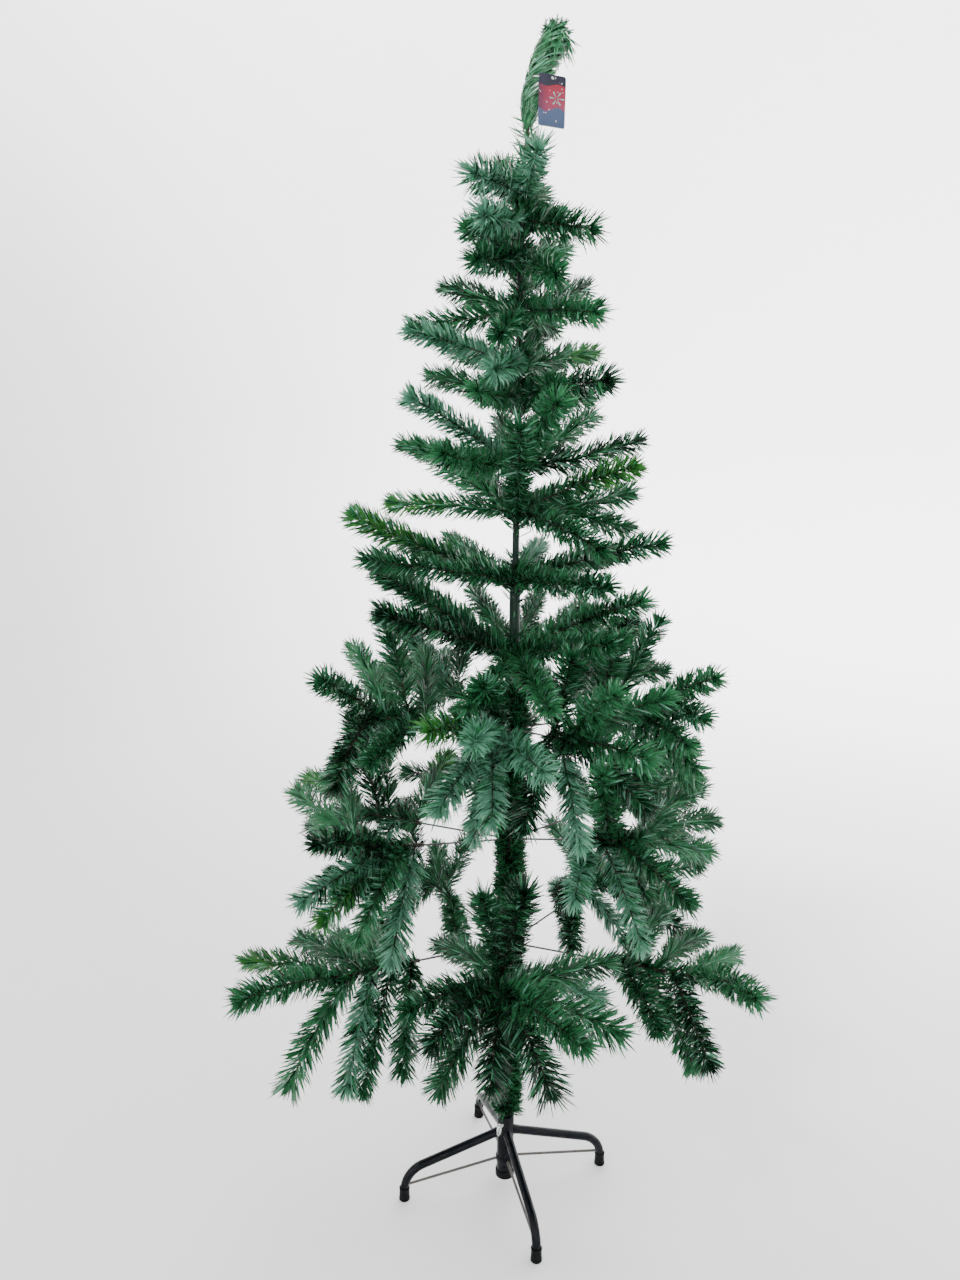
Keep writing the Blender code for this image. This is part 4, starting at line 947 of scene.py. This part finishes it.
heights = np.linspace(knot_heights[0], knot_heights[-1], 1500)
strand_path, strand_turn = strand_at(heights)
strand_path, strand_radii = closed(strand_path, 0.0016)
outward = np.stack((np.cos(strand_turn), np.sin(strand_turn), np.zeros(len(heights))), axis=-1)
outward = np.vstack((outward[:1], outward, outward[-1:]))
strand_side = np.cross(np.gradient(strand_path[1:-1], axis=0), outward[1:-1])
strand_side /= np.linalg.norm(strand_side, axis=1, keepdims=True)
strand_side = np.vstack((strand_side[:1], strand_side, strand_side[-1:]))
strand_tube, strand_faces = carried(np.vstack((strand_path[1] - 1e-5 * UP, strand_path[1:-1],
                                               strand_path[-2] + 1e-5 * UP)),
                                    strand_side, strand_radii, 6, 0.3)
add_piece("tinsel_wire", strand_tube, strand_faces, brown_wire, "tinsel", ["tinsel_strand"])

levels = knot_heights[0] + (knot_heights[-1] - knot_heights[0]) * \
    draw.random(STRAND_STRIPS) ** STRAND_CROWDING
turn = draw.uniform(0, 2 * math.pi, STRAND_STRIPS)
outward = np.stack((np.cos(turn), np.sin(turn), np.zeros(STRAND_STRIPS)), axis=-1)
base = outward * POLE_RADIUS + UP * levels[:, None]
tinsel = (base, np.broadcast_to(UP, base.shape), outward,
          draw.uniform(0.015, 0.026, STRAND_STRIPS), draw.normal(0.95, 0.35, STRAND_STRIPS),
          np.full(STRAND_STRIPS, NEEDLE_WIDTH), draw.uniform(0, math.pi, STRAND_STRIPS),
          draw.normal(0.05, 0.12, STRAND_STRIPS), draw.normal(0, 0.15, STRAND_STRIPS))
tinsel_shade = draw.choice((0, 1, 4), STRAND_STRIPS, p=(0.45, 0.35, 0.2))
for index, name in ((0, "bottle"), (1, "spruce"), (4, "shadow")):
    chosen = np.flatnonzero(tinsel_shade == index)
    add_piece("tinsel_" + name, *strips(*[column[chosen] for column in tinsel]),
              needle_finishes[index], "tinsel", ["tinsel_strand"], weld=False)


# Leader's strips: few and spread at its foot, wrapped tight round the folded part above, and
# a short tuft on its end.
FOOT_STRIPS, WRAPPED_STRIPS, TUFT_STRIPS, FOLDED_STRIPS = 130, 2000, 230, 150
BAND_COUNT, BAND_PITCH = 6, 0.0095
WRAP_HEIGHTS = (1.650, 1.668, 1.700, 1.735, 1.760, 1.776)
WRAP_RADII = (0.004, 0.0110, 0.0160, 0.0205, 0.0215, 0.0160)

levels = draw.uniform(1.602, 1.672, FOOT_STRIPS)
angle = draw.uniform(0, 2 * math.pi, FOOT_STRIPS)
outward = np.stack((np.cos(angle), np.sin(angle), np.zeros(FOOT_STRIPS)), axis=-1)
foot_rows = (leader_at(levels), np.broadcast_to(UP, outward.shape), outward,
             draw.uniform(0.018, 0.030, FOOT_STRIPS), draw.normal(1.15, 0.25, FOOT_STRIPS),
             np.full(FOOT_STRIPS, 0.0022), draw.uniform(0, math.pi, FOOT_STRIPS),
             draw.normal(0.10, 0.20, FOOT_STRIPS), draw.normal(0, 0.15, FOOT_STRIPS))
angle = draw.uniform(0, 2 * math.pi, FOLDED_STRIPS)
outward = np.stack((np.cos(angle), np.sin(angle), np.zeros(FOLDED_STRIPS)), axis=-1)
folded_rows = (leader_at(draw.uniform(1.768, 1.780, FOLDED_STRIPS)) +
               outward * draw.uniform(0.006, 0.015, FOLDED_STRIPS)[:, None],
               np.broadcast_to(UP, outward.shape), outward,
               draw.uniform(0.022, 0.042, FOLDED_STRIPS), draw.normal(2.75, 0.2, FOLDED_STRIPS),
               np.full(FOLDED_STRIPS, NEEDLE_WIDTH), draw.uniform(0, math.pi, FOLDED_STRIPS),
               draw.normal(0, 0.08, FOLDED_STRIPS), draw.normal(0, 0.12, FOLDED_STRIPS))
angle = draw.uniform(0, 2 * math.pi, TUFT_STRIPS)
outward = np.stack((np.cos(angle), np.sin(angle), np.zeros(TUFT_STRIPS)), axis=-1)
tuft_rows = (leader_at(draw.uniform(1.768, 1.781, TUFT_STRIPS)) +
             outward * draw.uniform(0, 0.014, TUFT_STRIPS)[:, None],
             np.broadcast_to(UP, outward.shape), outward,
             draw.uniform(0.008, 0.018, TUFT_STRIPS), draw.uniform(0.1, 2.2, TUFT_STRIPS),
             np.full(TUFT_STRIPS, NEEDLE_WIDTH), draw.uniform(0, math.pi, TUFT_STRIPS),
             draw.normal(0, 0.15, TUFT_STRIPS), draw.normal(0, 0.15, TUFT_STRIPS))


def wrapped_strips(count, width, side):
    """Strips that lie round the stem: turn a + u L cos(slant) / R, height z + u L sin(slant).
    R is the wrap's radius there. Strands lie side by side in it: R sinks between two of them
    with the square of sin(bands a / 2 - pi z / pitch), whose angle lies about side. The slant
    keeps a strip in its strand: tan(slant) = bands pitch / (2 pi R)."""
    level = draw.uniform(WRAP_HEIGHTS[0], WRAP_HEIGHTS[-1], count)[:, None]
    length = draw.uniform(0.020, 0.034, count)[:, None]
    girth = np.interp(level, WRAP_HEIGHTS, WRAP_RADII)
    rise = np.arctan(BAND_COUNT * BAND_PITCH / (2 * math.pi * girth)) + \
        draw.normal(0, 0.06, count)[:, None]
    phase = draw.normal(side, 0.33, count)[:, None]
    start = 2 / BAND_COUNT * (phase + math.pi * level / BAND_PITCH +
                              math.pi * draw.integers(0, BAND_COUNT, count)[:, None])
    depth = (0.64 + 0.36 * np.sin(phase) ** 2) * draw.uniform(0.95, 1.04, count)[:, None]
    u = STRIP_SHARES[None, :]
    height = level + u * length * np.sin(rise)
    radius = np.interp(height, WRAP_HEIGHTS, WRAP_RADII) * depth + u ** 2 * 0.0022
    turn = start + u * length * np.cos(rise) / np.maximum(radius, 0.008)
    around = np.stack((np.cos(turn), np.sin(turn), np.zeros_like(turn)), axis=-1)
    line = leader_at(height) + around * radius[..., None]
    flat = UP * np.cos(rise)[..., None] - np.sin(rise)[..., None] * np.cross(UP, around)
    flat = flat + around * draw.normal(0, 0.45, count)[:, None, None]
    flat /= np.linalg.norm(flat, axis=-1, keepdims=True)
    half = width / 2 * STRIP_WIDTHS[None, :, None] * flat
    points = np.stack((line - half, line + half), axis=2)
    row = np.arange(len(STRIP_SHARES) - 1)[:, None] * 2
    starts = np.arange(count)[:, None, None] * 2 * len(STRIP_SHARES)
    return points.reshape(-1, 3), ((row + np.array((0, 1, 3, 2)))[None] + starts).reshape(-1, 4)


for part, rows, index in (("foot", foot_rows, 1), ("tuft", tuft_rows, 0),
                          ("folded", folded_rows, 1)):
    add_piece("leader_" + part, *strips(*rows), needle_finishes[index], "foliage", ["leader"],
              weld=False)
# Each shade lies about its own place across the strands: the near-black shade sits in the valleys
# between them as painted shade, bottle on their flanks, and the two paler shades on their crests as
# painted highlight.
for index, portion, side in ((0, 0.30, math.pi / 3), (1, 0.21, math.pi / 2),
                             (2, 0.07, math.pi / 2), (4, 0.42, 0.0)):
    name = list(SHADES)[index]
    add_piece("leader_wrap_" + name, *wrapped_strips(int(WRAPPED_STRIPS * portion), 0.0018, side),
              needle_finishes[index], "foliage", ["leader"], weld=False)


# Studio: a pale floor that curves up into a round backdrop, three soft lamps, and the camera
# where the photograph was taken from, a little above the tree's middle.
SWEEP_RADIUS, SWEEP_CURVE, SWEEP_TOP = 5.0, 1.6, 6.0
bend = np.linspace(0, math.pi / 2, 16)
sweep_outline = [(0.0, 0.0)] + [(SWEEP_RADIUS - SWEEP_CURVE + SWEEP_CURVE * math.sin(step),
                                 SWEEP_CURVE - SWEEP_CURVE * math.cos(step)) for step in bend]
sweep_outline.append((SWEEP_RADIUS, SWEEP_TOP))
sweep_points, sweep_faces = turned(sweep_outline, 96)
sweep_mesh = bpy.data.meshes.new("studio_floor")
sweep_mesh.from_pydata(sweep_points.tolist(), [], sweep_faces[:, ::-1].tolist())
sweep_mesh.shade_smooth()
floor_finish = Finish("pale_floor", Roughness=0.9, Specular_IOR_Level=0.1)
sweep_mesh.materials.append(floor_finish.feed(Base_Color=floor_finish.mix(
    floor_finish.noise(2.0), (0.90, 0.90, 0.90, 1), (0.93, 0.93, 0.93, 1))))
studio_floor = bpy.data.objects.new("studio_floor", sweep_mesh)
bpy.context.scene.collection.objects.link(studio_floor)


def lamp(name, place, aim, spread, strength):
    """A wide soft light from a far place toward its aim, even over the whole floor."""
    data = bpy.data.lights.new(name, "SUN")
    data.angle = math.radians(spread)
    data.energy = strength
    made = bpy.data.objects.new(name, data)
    made.location = place
    made.rotation_euler = (Vector(aim) - Vector(place)).to_track_quat("-Z", "Y").to_euler()
    bpy.context.scene.collection.objects.link(made)


lamp("key_light", (-1.6, -2.4, 3.4), (0, 0, 0.9), 20, 11.0)
lamp("fill_light", (2.6, -2.4, 1.9), (0, 0, 0.9), 14, 3.6)
lamp("back_light", (0.8, 2.4, 3.2), (0, 0, 1.0), 34, 2.6)
world = bpy.data.worlds.new("studio_air")
world.use_nodes = True
world.node_tree.nodes["Background"].inputs["Color"].default_value = (1.0, 1.0, 1.0, 1.0)
world.node_tree.nodes["Background"].inputs["Strength"].default_value = 1.2
bpy.context.scene.world = world

EYE = (0.0, -1.425, 1.156)
PITCH, ROLL, YAW = math.radians(9.27), math.radians(0.68), math.radians(-2.10)
FOCAL_PIXELS, FRAME_HEIGHT, SENSOR = 943, 1280, 36
ahead = Vector((math.sin(YAW) * math.cos(PITCH), math.cos(YAW) * math.cos(PITCH),
                -math.sin(PITCH)))
level_right = Vector((math.cos(YAW), -math.sin(YAW), 0.0))
level_up = level_right.cross(ahead)
right = level_right * math.cos(ROLL) + level_up * math.sin(ROLL)
top = level_up * math.cos(ROLL) - level_right * math.sin(ROLL)
lens = bpy.data.cameras.new("camera")
lens.sensor_width = SENSOR
lens.lens = FOCAL_PIXELS / FRAME_HEIGHT * SENSOR
camera = bpy.data.objects.new("camera", lens)
camera.matrix_world = Matrix.Translation(Vector(EYE) + Vector(AXIS)) @ \
    Matrix((right, top, -ahead)).transposed().to_4x4()
bpy.context.scene.collection.objects.link(camera)
bpy.context.scene.camera = camera
